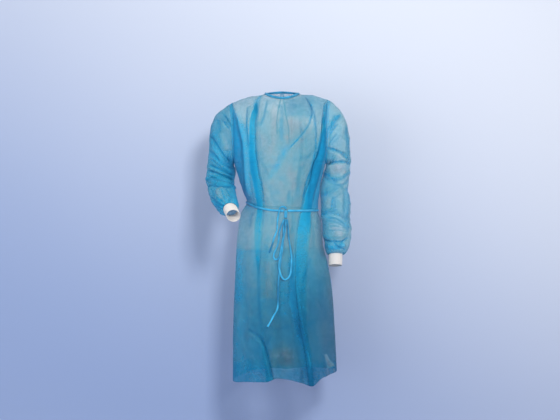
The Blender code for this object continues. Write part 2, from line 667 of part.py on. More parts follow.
def make_neck(grids, blue):
    """The binding, open at the nape, with the knot that closes it and the two hanging ties."""
    row = np.linspace(-1, 1, ROW_STEPS + 1)
    nape = ROW_STEPS // 2
    front, back = body(-1, 0.0, row), body(1, 0.0, -row)
    ends = (back[-1:] + front[:1]) / 2, (front[-1:] + back[:1]) / 2
    ring = np.vstack([back[nape:-1], ends[0], front[1:-1], ends[1], back[1 : nape + 1]])
    down_front, down_back = body(-1, 0.3, row) - front, body(1, 0.3, -row) - back
    down = np.vstack([down_back[nape:-1], down_front, down_back[1 : nape + 1]])
    up = unit(BINDING_LEAN * unit(-down) + np.array([0, 0, 1 - BINDING_LEAN]))
    half = (NECK_KNOT_SIZE[0] / 2 + SEAM_GAP) * np.array([1, 0, 0])
    ring[0], ring[-1] = ring[0] - half, ring[-1] + half
    low, high = ring + up * 2 * SEAM_GAP, ring + up * (2 * SEAM_GAP + BINDING_HEIGHT)
    cloth_object("neck_binding", np.stack([high, low]), BINDING_THICKNESS, blue, 0)
    nape_y, nape_z = body(1, 0.0, 0.0)[1:]
    knot_y = nape_y + NECK_KNOT_SIZE[1] / 2 + NECK_KNOT_GAP[0]
    knot_z = nape_z + NECK_KNOT_SIZE[2] / 2 + NECK_KNOT_GAP[1]
    knot_object("neck_knot", (0, knot_y, knot_z), NECK_KNOT_SIZE, 0, blue)
    trees = [surface_tree(grids[name]) for name in ("back_left", "back_right")]
    for name, side in (("left", 1), ("right", -1)):
        path = laid_on(trees, 1, NECK_TIES[side], 13, STRAND_CLEARANCE)
        rows = tape_rows(path, TIE_WIDTH, (0, 1, 0))
        cloth_object(f"neck_tie_{name}", rows, TAPE_THICKNESS, blue, 0)


def make_belt(grids, blue):
    """The belt, taut round the waist, the knot in front and the bow's loops and ends."""
    levels = level_list()
    near_belt = (levels > LEVELS_AT_BELT[0]) & (levels < LEVELS_AT_BELT[1])
    cloud = np.vstack([grid[near_belt].reshape(-1, 3) for grid in grids.values()])
    row = np.linspace(-1, 1, 2 * ROW_STEPS + 1)[1:-1]
    middle = np.vstack([body(face, float(BELT), row * -face) for face in (-1, 1)])
    knot_x, knot_z = BELT_KNOT
    start = (knot_x, cloud[:, 1].min())
    open_by = BELT_KNOT_SIZE[0] + 2 * SEAM_GAP
    path = band_round(cloud, middle, BELT_CLEARANCE, start, open_by, BELT_POINTS)
    half = np.array([0, 0, BELT_WIDTH / 2])
    cloth_object("waist_belt", np.stack([path + half, path - half]), TAPE_THICKNESS, blue, 1)
    under = [surface_tree(grids["front"])]
    tall = BELT_KNOT_SIZE[2] / 2
    top_y, bottom_y = (outermost(under, -1, knot_x, knot_z + z, KNOT_ROUNDING) for z in (tall, -tall))
    lean = math.atan2(top_y - bottom_y, 2 * tall)
    knot_y = (top_y + bottom_y) / 2 - 2 * SEAM_GAP - BELT_KNOT_SIZE[1] / 2 / math.cos(lean)
    knot_object("belt_knot", (knot_x, knot_y, knot_z), BELT_KNOT_SIZE, -lean, blue)
    strands = (
        ("belt_end_long", LONG_END, 22),
        ("bow_loop_long", LONG_LOOP, 38),
        ("bow_loop_short", SHORT_LOOP, 24),
        ("belt_end_short", SHORT_END, 20),
    )
    belt_face = path + unit(path * (1, 1, 0)) * TAPE_THICKNESS
    under.append(surface_tree(np.stack([belt_face + half, belt_face - half])))
    for name, route, count in strands:
        path = laid_on(under, -1, route, count, STRAND_CLEARANCE)
        rows = tape_rows(path, TAPE_WIDTH, (0, -1, 0))
        cloth_object(name, rows, TAPE_THICKNESS, blue, 0)
        under.append(surface_tree(rows - (0, TAPE_THICKNESS / 2, 0)))


clear_scene()
GOWN = bpy.data.collections.new("visitor_gown")
bpy.context.scene.collection.children.link(GOWN)
nonwoven = material("nonwoven_blue", (0.13, 0.47, 0.66), 0.75)
tape = material("tape_blue", (0.08, 0.42, 0.68), 0.7)
rib_knit = material("knit_white", (0.85, 0.85, 0.87), 0.9)
panels = make_body(nonwoven)
make_sleeves(nonwoven, rib_knit)
make_neck(panels, tape)
make_belt(panels, tape)
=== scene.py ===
"""Looks of the visitor gown: thin shells of non-woven cloth on the forms of its solids.

Units are metres, in the part's own frame. The front faces -Y, the wearer's left is +X, and the origin is
the middle of the neck opening. Every cloth piece is an open surface whose thin wall grows inwards.
Tables and routes are written in millimetres.
"""

import math

import bpy
import numpy as np
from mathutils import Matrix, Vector
from mathutils.bvhtree import BVHTree

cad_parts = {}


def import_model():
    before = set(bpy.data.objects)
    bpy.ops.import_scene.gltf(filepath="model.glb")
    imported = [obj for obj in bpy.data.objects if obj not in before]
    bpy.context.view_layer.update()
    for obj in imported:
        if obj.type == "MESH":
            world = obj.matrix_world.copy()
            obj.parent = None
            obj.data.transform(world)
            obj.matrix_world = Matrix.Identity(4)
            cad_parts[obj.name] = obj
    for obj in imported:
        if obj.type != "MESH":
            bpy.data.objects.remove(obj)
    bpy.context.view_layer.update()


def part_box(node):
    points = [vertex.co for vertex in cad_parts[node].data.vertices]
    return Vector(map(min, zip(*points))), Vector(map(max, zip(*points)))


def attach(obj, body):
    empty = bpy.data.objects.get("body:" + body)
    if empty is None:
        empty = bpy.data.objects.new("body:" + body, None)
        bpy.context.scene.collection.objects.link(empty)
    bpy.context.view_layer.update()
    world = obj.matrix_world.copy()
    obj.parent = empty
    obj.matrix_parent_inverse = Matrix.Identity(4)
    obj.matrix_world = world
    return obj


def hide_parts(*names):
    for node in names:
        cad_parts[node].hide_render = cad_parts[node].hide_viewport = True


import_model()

# Fine shells: their walls, and the rows and columns that carry the creases.
CLOTH_WALL = 0.0005
KNIT_WALL = 0.0012
TAPE_WALL = 0.0007
BINDING_WALL = 0.0005
FRONT_ROWS, BACK_ROWS, BACK_OUTER_COLUMNS, BACK_LAP_COLUMNS = 300, 240, 92, 18
SLEEVE_ROWS, SLEEVE_COLUMNS = 176, 128
CUFF_ROWS, CUFF_RIBS, RIB_COLUMNS = 22, 46, 6
TAPE_COLUMNS, BINDING_COLUMNS, TIE_STEPS, BELT_STEPS = 7, 13, 46, 240
WRAP_STEPS, WRAP_COLUMNS = 36, 6
FOLD_LINES = np.concatenate([np.linspace(-3, -1, 7)[:-1], np.linspace(-1, 1, 23), np.linspace(1, 3, 7)[1:]])

# Gaps and trims. A lean is the share of the cloth's own direction in the binding's, against upright.
SEAM_GAP = 0.0003
BINDING_HEIGHT = 0.009
BINDING_THICKNESS = 0.003
BINDING_LEAN = 0.6
BINDING_PUCKER = 0.0003
TAPE_WIDTH = 0.008
TIE_WIDTH = 0.0056
TAPE_NARROWS, TAPE_LEANS_OUT = 0.24, 0.6
BELT_WIDTH = 0.009
BELT_CLEARANCE = 0.00096
CUFF_LENGTH = 0.043
CUFF_RADIUS = 0.0268
CUFF_INSET, CUFF_TAPER, CUFF_WAVER, CUFF_BULGE = 0.0002, 0.0009, 0.012, 0.02
RIB_DEPTH = 0.00042

# The body is measured by levels: 0 neckline, 2 shoulder point, 6 underarm, 9 belt, 14 hem.
SHOULDER, UNDERARM, BELT, HEM = 2, 6, 9, 14
NECK_HALF_WIDTH = 0.070
NECK_POINT_Z = -0.005
SHOULDER_CROWN = 0.005
SHOULDER_X, SHOULDER_Z = {-1: -0.195, 1: 0.178}, {-1: -0.038, 1: -0.026}
UNDERARM_X, UNDERARM_Z = {-1: -0.187, 1: 0.170}, {-1: -0.272, 1: -0.268}
ARMHOLE_DEPTH = 0.072
ARMHOLE_SCOOP = 0.004
ROW_POWER = 1.7
HEM_LINE_FROM = 11
ROW_STEPS = 16
LEVELS_AT_BELT = (8.8, 9.2)

# Pleats: the cloth doubles back over its reach, and the top layer sinks away over PLEAT_FADE reaches.
PLEAT_REACH = 0.012
PLEAT_DEPTH = 0.011
PLEAT_FADE = 3.0
PLEAT_CREST = 0.9
PLEAT_FULL_BAND = 0.010
PLEAT_PRESSED = 0.35
PLEAT_PRESSED_LEVELS = 0.4
PLEAT_OPENS, PLEAT_OPENS_OVER = 0.35, 2
PLEAT_LAYERS = {-1: 1.5, 1: 2.2}
# A painted shadow, given as more layers, runs along each pleat's folded edge: its layers, half width and
# inset.
PLEAT_EDGE_SHADOW_LAYERS, PLEAT_EDGE_WIDTH, PLEAT_EDGE_INSET = 1.1, 0.0024, 0.001
PLEAT_SOFTNESS, PLEAT_SOFTER, PLEAT_SOFTENS_FROM, PLEAT_SOFTENS_OVER = 0.003, 0.004, 5.5, 3
PLEAT_FADES_OVER, PLEAT_FADED, PLEAT_OUTER_FADED, PLEAT_EDGE_FADED = 2.5, 0.45, 0.35, 0.6
PLEAT_NARROWEST = 0.008
MOST_PLEAT_S = 0.90
SEAM_STRIP = 0.03
FOLD_FADE = 0.1

# The back opening: the wearer's left back lies over the right one. Each change with the level is full there.
BACK_OVERLAP = 0.040
NECK_OVERLAP = 0.012
OVERLAP_FULL_LEVEL = 3
BACK_LIFT = 0.0035
NECK_LIFT = 0.0017
LIFT_FULL_LEVEL = 1.5
NECK_STAND_LEVELS = 1.3
LIFT_STARTS, LIFT_GROWS_OVER = 0.75, 0.35

# Knots. Each strand of the bow lies on the cloth and on the strands before it.
BELT_KNOT_X, BELT_KNOT_WIDTH = 0.0137, 0.013
NECK_KNOT_WIDTH = 0.012
STRAND_CLEARANCE = 0.0010
STRAND_STEP = 0.005
STRAND_EASING = 3
ROUTE_POINTS = 20
OUTLINE_POINTS = 720

# Creases. The narrow ones are also drawn by the finish, as a line across their half width, of more layers
# and painted shade.
CREASE_HEIGHT, CREASE_DEPTH = 0.95, 1.2
CREASE_REACH = 4.0
CREASE_END = 0.15
CREASE_FINEST = 0.0055
CREASE_BROAD = 9.5
LINE_SPREAD = 2.6
LINE_CORE = 1.1
NO_LINE = 4.0
SMALL_CREASE_LENGTH, SMALL_CREASE_WIDTH = (0.03, 0.11), (5.0, 9.0)

# How far creases are held down: by the neck binding, under the belt and along a seam.
BINDING_HOLD_LEVELS = 0.7
BELT_HOLD, BELT_HOLD_LEVELS = 0.75, 0.16
SEAM_HOLD = 0.05

# Layers of cloth that seams, hem and overlap add to the single one.
SEAM_LAYERS, SEAM_FROM, SEAM_SOFTNESS = 0.9, 0.962, 0.008
FRONT_HEM_LAYERS, BACK_HEM_LAYERS = 1.3, 1.2
FRONT_HEM_Z, BACK_HEM_Z = -1.028, -1.050
LAP_LESS, LAP_EDGE = 0.48, 0.12

# The skirt's painted shade deepens from the hip down, more on its left, and closer layers from the thigh
# deepen it further.
HIP_Z, SKIRT_DEEPENS_OVER, THIGH_Z = -0.50, 0.40, -0.60
SKIRT_PAINTED_SHADE, LEFT_SKIRT_PAINTED_SHADE, RIGHT_SKIRT_PAINTED_SHADE = 0.80, 0.27, 0.30
SKIRT_LAYERS, THIGH_LAYERS = 0.85, 0.3
# Painted shade on the upper chest, which tilts up to the light, and over the yoke.
CHEST_PAINTED_SHADE, YOKE_PAINTED_SHADE = 0.32, 0.3
CHEST_Z, CHEST_DEEPENS_OVER = -0.15, 0.10
# The middle of the hem is clearer, between the folds of its two sides.
CLEAR_FROM_Z, CLEAR_OVER, CLEAR_HALF_WIDTH, CLEAR_SOFTNESS = -0.95, 0.05, 0.075, 0.04
TURNED_CORNER_LESS = 0.3

# The columns of a table that are no lengths.
NOT_LENGTHS = ("level", "ring", "angle", "lean")


def table(columns, *rows):
    """Named columns from rows of numbers."""
    values = zip(columns.split(), np.array(rows, float).T)
    return {name: value if name in NOT_LENGTHS else value / 1000 for name, value in values}


def fold(half_width, *rows):
    """A soft fold: its half width, then level, place across and height (below 0 for a hollow) along it."""
    return half_width / 1000, table("level x height", *rows)


def zone(layers, softness, *rows):
    """A zone that adds layers of doubled cloth, or painted shade where it is used for that: its amount, the
    softness of its edges, then height, left and right edge.
    """
    return layers, softness / 1000, table("z left right", *rows)


def millimetres(*points):
    """A run of points, x and z, in metres."""
    return np.array(points) / 1000


def crease_rows(*rows):
    """Creases: height and half width, both in millimetres, sharpness of the side to the left of the run
    (1 is even), layers of cloth that the crease adds, then its run. The layers are partly doubled cloth and
    partly painted: shade where they are added in a hollow, a highlight where they are taken off a ridge."""
    return tuple((*row[:4], *millimetres(*row[4:])) for row in rows)


# Centre line of the front and of the back, at each level.
CENTRE = table(
    "level front_y front_z back_y back_z",
    (0, -74, -31, 65, 5),
    (1, -98, -55, 92, -14),
    (2, -118, -90, 112, -45),
    (3, -130, -130, 124, -100),
    (4, -138, -180, 134, -170),
    (5, -139, -235, 135, -235),
    (6, -137, -275, 134, -275),
    (7, -130, -340, 122, -340),
    (8, -118, -400, 108, -400),
    (9, -108, -459, 98, -445),
    (10, -122, -505, 116, -500),
    (11, -144, -580, 138, -580),
    (12, -160, -750, 156, -750),
    (13, -172, -930, 168, -930),
    (14, -178, -1100, 176, -1100),
)
# Side seams, from the underarm down. Left and right are the wearer's.
SIDE = table(
    "level right_x right_z left_x left_z",
    (6, -187, -272, 170, -268),
    (7, -166, -340, 151, -340),
    (8, -148, -392, 143, -402),
    (9, -137, -425, 140, -457),
    (10, -160, -470, 153, -500),
    (11, -176, -580, 158, -580),
    (12, -184, -750, 193, -750),
    (13, -190, -930, 206, -930),
    (14, -192, -1120, 213.5, -1080),
)
# How far each half row turns from the centre line to its edge, in degrees.
TURN = table("level angle", (0, 90), (2, 90), (3, 70), (4, 56), (5, 68), (6, 90), (14, 90))
HEM_LINE = table(
    "x z",
    (-192, -1120),
    (-120, -1103),
    (-60, -1100),
    (-20, -1086),
    (30, -1093),
    (80, -1106),
    (112, -1118),
    (150, -1087),
    (213.5, -1080),
)

# The two knife pleats of the front: the edges of the visible band, and the side that its top layer lies on.
RIGHT_PLEAT = table(
    "level left right",
    (0.9, -96, -94),
    (2.3, -112, -94),
    (3.6, -122, -104),
    (4.9, -125, -101),
    (6.45, -122, -91),
    (7.2, -110, -81),
    (7.9, -102, -75),
    (9, -96, -72),
    (10.7, -101, -76),
    (12, -88, -87),
    (12.9, -83, -81),
    (13.4, -74, -57),
    (14, -58, -32),
)
LEFT_PLEAT = table(
    "level left right",
    (2.3, 170, 171),
    (3.45, 164, 170),
    (4, 157, 170),
    (4.7, 143, 166),
    (5.85, 125, 157),
    (7.2, 103, 137),
    (7.95, 86, 122),
    (9, 73, 113),
    (10.1, 61, 111),
    (11.2, 53, 97),
    (11.85, 52, 92),
    (12.75, 67, 92),
    (13.25, 84, 108),
    (14, 102, 119),
)
PLEATS = ((RIGHT_PLEAT, -1), (LEFT_PLEAT, 1))

FRONT_FOLDS = (
    fold(18, (2.2, -182, 0), (3.6, -164, 8), (4.7, -144.5, 10), (7, -139, 8), (8.6, -122, 0)),
    fold(60, (9.6, 0, 0), (11.2, 4, -14), (12.5, 6, -24), (14, 24, -22)),
    fold(24, (9.8, 40, 0), (11.2, 40, -12), (12.2, 40, -16), (13, 58, -15), (14, 88, -10)),
    fold(42, (9.4, -105, 0), (10.5, -105, 10), (12.5, -112, 8), (14, -120, 10)),
    fold(40, (9.4, 105, 0), (11, 112, 8), (12.6, 130, 10), (14, 150, 12)),
)
BACK_FOLDS = (
    fold(50, (9.5, 76, 0), (11, 80, 12), (14, 104, 18)),
    fold(44, (9.5, -84, 0), (11.2, -90, 10), (14, -108, 16)),
    fold(36, (9.9, 10, 0), (12, 14, -10), (14, 20, -15)),
    fold(30, (1.5, -75, 0), (3.8, -92, 7), (6.5, -88, 9), (8.6, -70, 0)),
    fold(34, (1.8, 80, 0), (4.4, 86, 8), (6.8, 74, 8), (8.6, 66, 0)),
)

# Sleeves, a row for each ring from the armhole: centre, half width across, its lean in degrees from
# outwards to up, and half width through.
LEFT_SLEEVE = table(
    "ring x y z across lean through",
    (0, 174, 0, -149, 119, 88, 72),
    (1, 193.5, 0, -160, 111, 84, 77),
    (2, 207.5, 2, -173.5, 104.7, 78.2, 80),
    (3, 217, 4, -190.5, 95, 72.2, 78),
    (4, 221, 6, -219, 78.3, 61.8, 74),
    (5, 218.5, 8, -257.5, 63, 42.4, 68),
    (6, 212.5, 8, -304, 57, 24.2, 64),
    (7, 208.5, 6, -356.5, 55, 11.9, 61),
    (8, 207.5, 2, -402.5, 53.5, 3, 60),
    (9, 211, -4, -470, 56, 0, 58),
    (10, 215, -10, -540, 53, 0, 55),
    (11, 215, -16, -585, 49, 0, 50),
    (12, 211.5, -19, -610, 43, 0, 43),
    (13, 209, -21, -624, 34, 0, 34),
    (14, 208, -22, -628, 27.2, 0, 27.2),
)
RIGHT_SLEEVE = table(
    "ring x y z across lean through",
    (0, -191, 0, -156, 116, 88, 72),
    (1, -206.5, 0, -167.5, 110.6, 82, 77),
    (2, -222, 2, -184, 102.9, 74.2, 80),
    (3, -233, 4, -205, 92.7, 66.5, 78),
    (4, -237.5, 6, -237.5, 76.7, 54.5, 74),
    (5, -237, 9, -278, 63, 37.4, 68),
    (6, -238.5, 11, -314, 55, 19, 61),
    (7, -240.5, 6, -347, 54, 6, 56),
    (8, -237, -24, -376, 52, 0, 52),
    (9, -227, -66, -400, 49, -3, 50),
    (10, -217, -110, -424, 45.5, -3, 47),
    (11, -205, -146, -442, 39, -3, 40),
    (12, -196, -166, -451, 32, -3, 32),
    (13, -193.5, -171, -453.5, 27.2, -3, 27.2),
)
SLEEVES = {-1: RIGHT_SLEEVE, 1: LEFT_SLEEVE}
CUFF_DIRECTION = {-1: (0.30, -0.78, -0.55), 1: (-0.04, -0.10, -0.994)}

# The bow's strands, as x and z on the skirt, from the knot outwards.
LONG_LOOP = millimetres(
    (19.5, -490.5), (22, -517), (23.4, -546), (27, -571), (30, -591), (33.5, -614), (36, -636),
    (35, -666), (31, -696), (21, -713), (11, -718), (0, -710), (-8, -691), (-12, -666), (-10, -647),
    (-4, -629), (0, -606), (4, -576), (6, -556), (5, -534), (6, -515), (7.5, -490.5),
)
SHORT_LOOP = millimetres(
    (8, -490.5), (-3, -514), (-10.5, -542), (-12.5, -567), (-17.6, -591), (-27, -612), (-32, -631),
    (-24.5, -643), (-14, -638), (-7, -618), (-2, -593), (4, -565), (11, -535), (15, -490.5),
)
SHORT_END = millimetres(
    (15.5, -454), (12, -446.5), (2, -442.5), (-7.5, -447), (-11.5, -462), (-15, -480), (-17.5, -501),
    (-18.5, -526), (-23.5, -544), (-30, -560), (-37.4, -587), (-48.8, -616),
)
LONG_END = millimetres(
    (12, -490.5), (5, -542), (0, -593), (-5, -643.5), (-10, -682.5), (-14, -729), (-15.6, -776),
    (-16.5, -819), (-35, -858), (-54.6, -893),
)
# The bow's strands: route, steps along it, far end, and how much lighter or deeper it is along its run.
STRANDS = (
    ("belt_end_long", LONG_END, 110, "bare",
     ((0, -0.4), (0.5, -0.4), (0.6, -1.0), (0.76, -1.0), (0.81, 0.5), (1, 0.5))),
    ("bow_loop_long", LONG_LOOP, 130, "object",
     ((0, -0.8), (0.12, -0.6), (0.35, 0.0), (0.65, 0.1), (0.9, -0.5), (1, -0.8))),
    ("bow_loop_short", SHORT_LOOP, 90, "object",
     ((0, -0.8), (0.2, -0.3), (0.5, 0.0), (0.8, -0.4), (1, -0.8))),
    ("belt_end_short", SHORT_END, 60, "bare",
     ((0, -0.6), (0.3, 0.0), (0.7, 0.1), (0.85, -0.9), (1, -1.2))),
)
# The turns of the belt's knot: place from its middle, half widths, axis, width, slant and crown.
BELT_KNOT_TURNS = (
    ((0, 0, 0), (0.0052, 0.0030), (0.0, 0.10, 1.0), 0.030, 0.0, 0.0010),
    ((0, -0.0002, 0.0085), (0.0060, 0.0038), (0.32, 0.12, 1), 0.0085, 0.0020, 0.0006),
    ((0.0006, -0.0002, 0.0005), (0.0057, 0.0039), (-0.38, 0.08, 1), 0.0080, -0.0016, 0.0006),
    ((-0.0004, -0.0003, -0.0085), (0.0058, 0.0037), (0.22, 0.08, 1), 0.0085, 0.0014, 0.0006),
)
# The neck ties hang from the nape, as x and z on the back.
NECK_TIES = {
    -1: millimetres((-3, 11.5), (-7, -18), (-16, -60), (-21, -105), (-19, -150)),
    1: millimetres((3, 11.5), (8, -20), (15, -70), (26, -125), (29, -185)),
}


def smooth(rows, column, at, key="level"):
    """The column's value at any place: a cubic through the rows that never overshoots them."""
    place, value = rows[key], rows[column]
    step = np.diff(place)
    slope = np.diff(value) / step
    product = slope[:-1] * slope[1:]
    total = np.where(product > 0, slope[:-1] + slope[1:], 1)
    inner = np.where(product > 0, 2 * product / total, 0)
    tangent = np.concatenate([slope[:1], inner, slope[-1:]])
    at = np.clip(at, place[0], place[-1])
    i = np.clip(np.searchsorted(place, at, side="right") - 1, 0, len(step) - 1)
    t = (at - place[i]) / step[i]
    return (
        value[i] * (1 + 2 * t) * (1 - t) ** 2
        + value[i + 1] * (3 - 2 * t) * t**2
        + step[i] * t * (1 - t) * (tangent[i] * (1 - t) - tangent[i + 1] * t)
    )


def ease(t):
    t = np.clip(t, 0, 1)
    return t * t * (3 - 2 * t)


def past(value, start, run):
    """0 up to start, easing up to 1 a run further on."""
    return ease((value - start) / run)


def before(value, start, run):
    """0 from start on, easing up to 1 a run before it."""
    return ease((start - value) / run)


def unit(vectors):
    return vectors / np.linalg.norm(vectors, axis=-1, keepdims=True)


def body_edge(face, level, side):
    """The edge of a body panel: shoulder seam, then armhole, then side seam. face is -1 in front."""
    seam = "left" if side > 0 else "right"
    along = level / SHOULDER
    shoulder_x = side * NECK_HALF_WIDTH + (SHOULDER_X[side] - side * NECK_HALF_WIDTH) * along
    round_arm = np.clip((level - SHOULDER) / (UNDERARM - SHOULDER), 0, 1)
    arm = math.pi * round_arm
    arm_x = SHOULDER_X[side] + (UNDERARM_X[side] - SHOULDER_X[side]) * round_arm
    arm_x = arm_x - side * ARMHOLE_SCOOP * np.sin(arm)
    middle = (SHOULDER_Z[side] + UNDERARM_Z[side]) / 2
    half = (SHOULDER_Z[side] - UNDERARM_Z[side]) / 2
    above, below = level < SHOULDER, level > UNDERARM
    x = np.where(above, shoulder_x, np.where(below, smooth(SIDE, seam + "_x", level), arm_x))
    z_side = smooth(SIDE, seam + "_z", level)
    shoulder_z = NECK_POINT_Z + (SHOULDER_Z[side] - NECK_POINT_Z) * along
    shoulder_z = shoulder_z + SHOULDER_CROWN * np.sin(math.pi * np.clip(along, 0, 1)) ** 2
    z = np.where(above, shoulder_z, np.where(below, z_side, middle + half * np.cos(arm)))
    return x, face * ARMHOLE_DEPTH * np.sin(arm), z


def body(face, level, s):
    """A point of the body before it is folded. s runs from -1 at one edge through 0 at the centre to 1."""
    level, s = np.broadcast_arrays(np.asarray(level, float), np.clip(s, -1, 1))
    right, left = body_edge(face, level, -1), body_edge(face, level, 1)
    edge_x, edge_y, edge_z = (np.where(s < 0, a, b) for a, b in zip(right, left))
    name = "front" if face < 0 else "back"
    centre_y, centre_z = smooth(CENTRE, name + "_y", level), smooth(CENTRE, name + "_z", level)
    turn = np.radians(smooth(TURN, "angle", level))
    angle = np.abs(s) * turn
    x = edge_x * np.sin(angle) / np.sin(turn)
    inward = (np.cos(angle) - np.cos(turn)) / (1 - np.cos(turn))
    y = edge_y + (centre_y - edge_y) * inward + face * SEAM_GAP / 2
    z = edge_z + (centre_z - edge_z) * np.cos(np.abs(s) * math.pi / 2) ** ROW_POWER
    if face < 0:
        hem_z = body_edge(face, float(HEM), -1)[2], body_edge(face, float(HEM), 1)[2]
        plain = np.where(s < 0, hem_z[0], hem_z[1])
        plain = plain + (CENTRE["front_z"][-1] - plain) * np.cos(np.abs(s) * math.pi / 2) ** ROW_POWER
        near_hem = (np.clip(level, HEM_LINE_FROM, HEM) - HEM_LINE_FROM) / (HEM - HEM_LINE_FROM)
        z = z + near_hem**2 * (smooth(HEM_LINE, "z", x, "x") - plain)
    return np.stack([x, y, z], axis=-1)


def outward(face, level, s):
    """The body's normal there."""
    step = 1e-3
    low, high = np.clip(level - step, 0, HEM), np.clip(level + step, 0, HEM)
    down = body(face, high, s) - body(face, low, s)
    along = body(face, level, np.clip(s + step, -1, 1)) - body(face, level, np.clip(s - step, -1, 1))
    return -face * unit(np.cross(down, along))


def half_girth(face, level, side):
    """The length of the row from the centre line to one edge."""
    points = body(face, level[..., None], np.linspace(0, side, ROW_STEPS + 1))
    return np.linalg.norm(np.diff(points, axis=-2), axis=-1).sum(axis=-1)


def s_of_x(face, level, x):
    """Where a row passes the distance x from the centre line."""
    side = -1 if np.mean(x) < 0 else 1
    turn = np.radians(smooth(TURN, "angle", level))
    return side * np.arcsin(np.clip(x / body_edge(face, level, side)[0], 0, 1) * np.sin(turn)) / turn


def fold_height(folds, level, x):
    height = np.zeros(np.broadcast(level, x).shape)
    for half_width, path in folds:
        away = np.clip(np.abs(x - smooth(path, "x", level)) / half_width, 0, 1)
        inside = (level >= path["level"][0]) & (level <= path["level"][-1])
        height += inside * smooth(path, "height", level) * np.cos(away * math.pi / 2) ** 2
    return height


def pleat_at(pleat, level):
    """A pleat's middle and reach as s, its side shift as s, and its depth."""
    started = np.maximum(level, pleat["level"][0])
    left = s_of_x(-1, started, smooth(pleat, "left", level))
    right = s_of_x(-1, started, smooth(pleat, "right", level))
    side = -1 if pleat["left"][0] < 0 else 1
    girth = half_girth(-1, level, side)
    middle = np.clip((left + right) / 2, -MOST_PLEAT_S, MOST_PLEAT_S)
    band = (right - left) * girth
    reach = np.minimum(PLEAT_REACH / girth, (1 - SEAM_STRIP - np.abs(middle)) / (PLEAT_FADE + 0.2))
    strength = ease(band / PLEAT_FULL_BAND) * (level >= pleat["level"][0])
    pressed = 1 - PLEAT_PRESSED * np.exp(-(((level - BELT) / PLEAT_PRESSED_LEVELS) ** 2))
    return middle, reach, strength * (band / girth + reach) / 2, strength * pressed * PLEAT_DEPTH


def pleat_rise(t):
    """The cross-section of a pleat: under layer at -0.5, top layer at 0.5, both sinking away outside."""
    size = np.abs(t)
    inner = np.sin(np.clip(size / PLEAT_CREST, 0, 1) * math.pi / 2) ** 3
    outer = np.cos(np.clip((size - PLEAT_CREST) / (PLEAT_FADE - PLEAT_CREST), 0, 1) * math.pi / 2) ** 2
    return 0.5 * np.sign(t) * inner * outer


def stretched(stops, cloth):
    """Places between the stops of each row: whole numbers of cloth are the stops themselves."""
    stops = np.stack(stops, axis=-1)
    k = np.clip(np.floor(cloth).astype(int), 0, stops.shape[-1] - 2)
    return stops[:, k] + (stops[:, k + 1] - stops[:, k]) * (cloth - k)


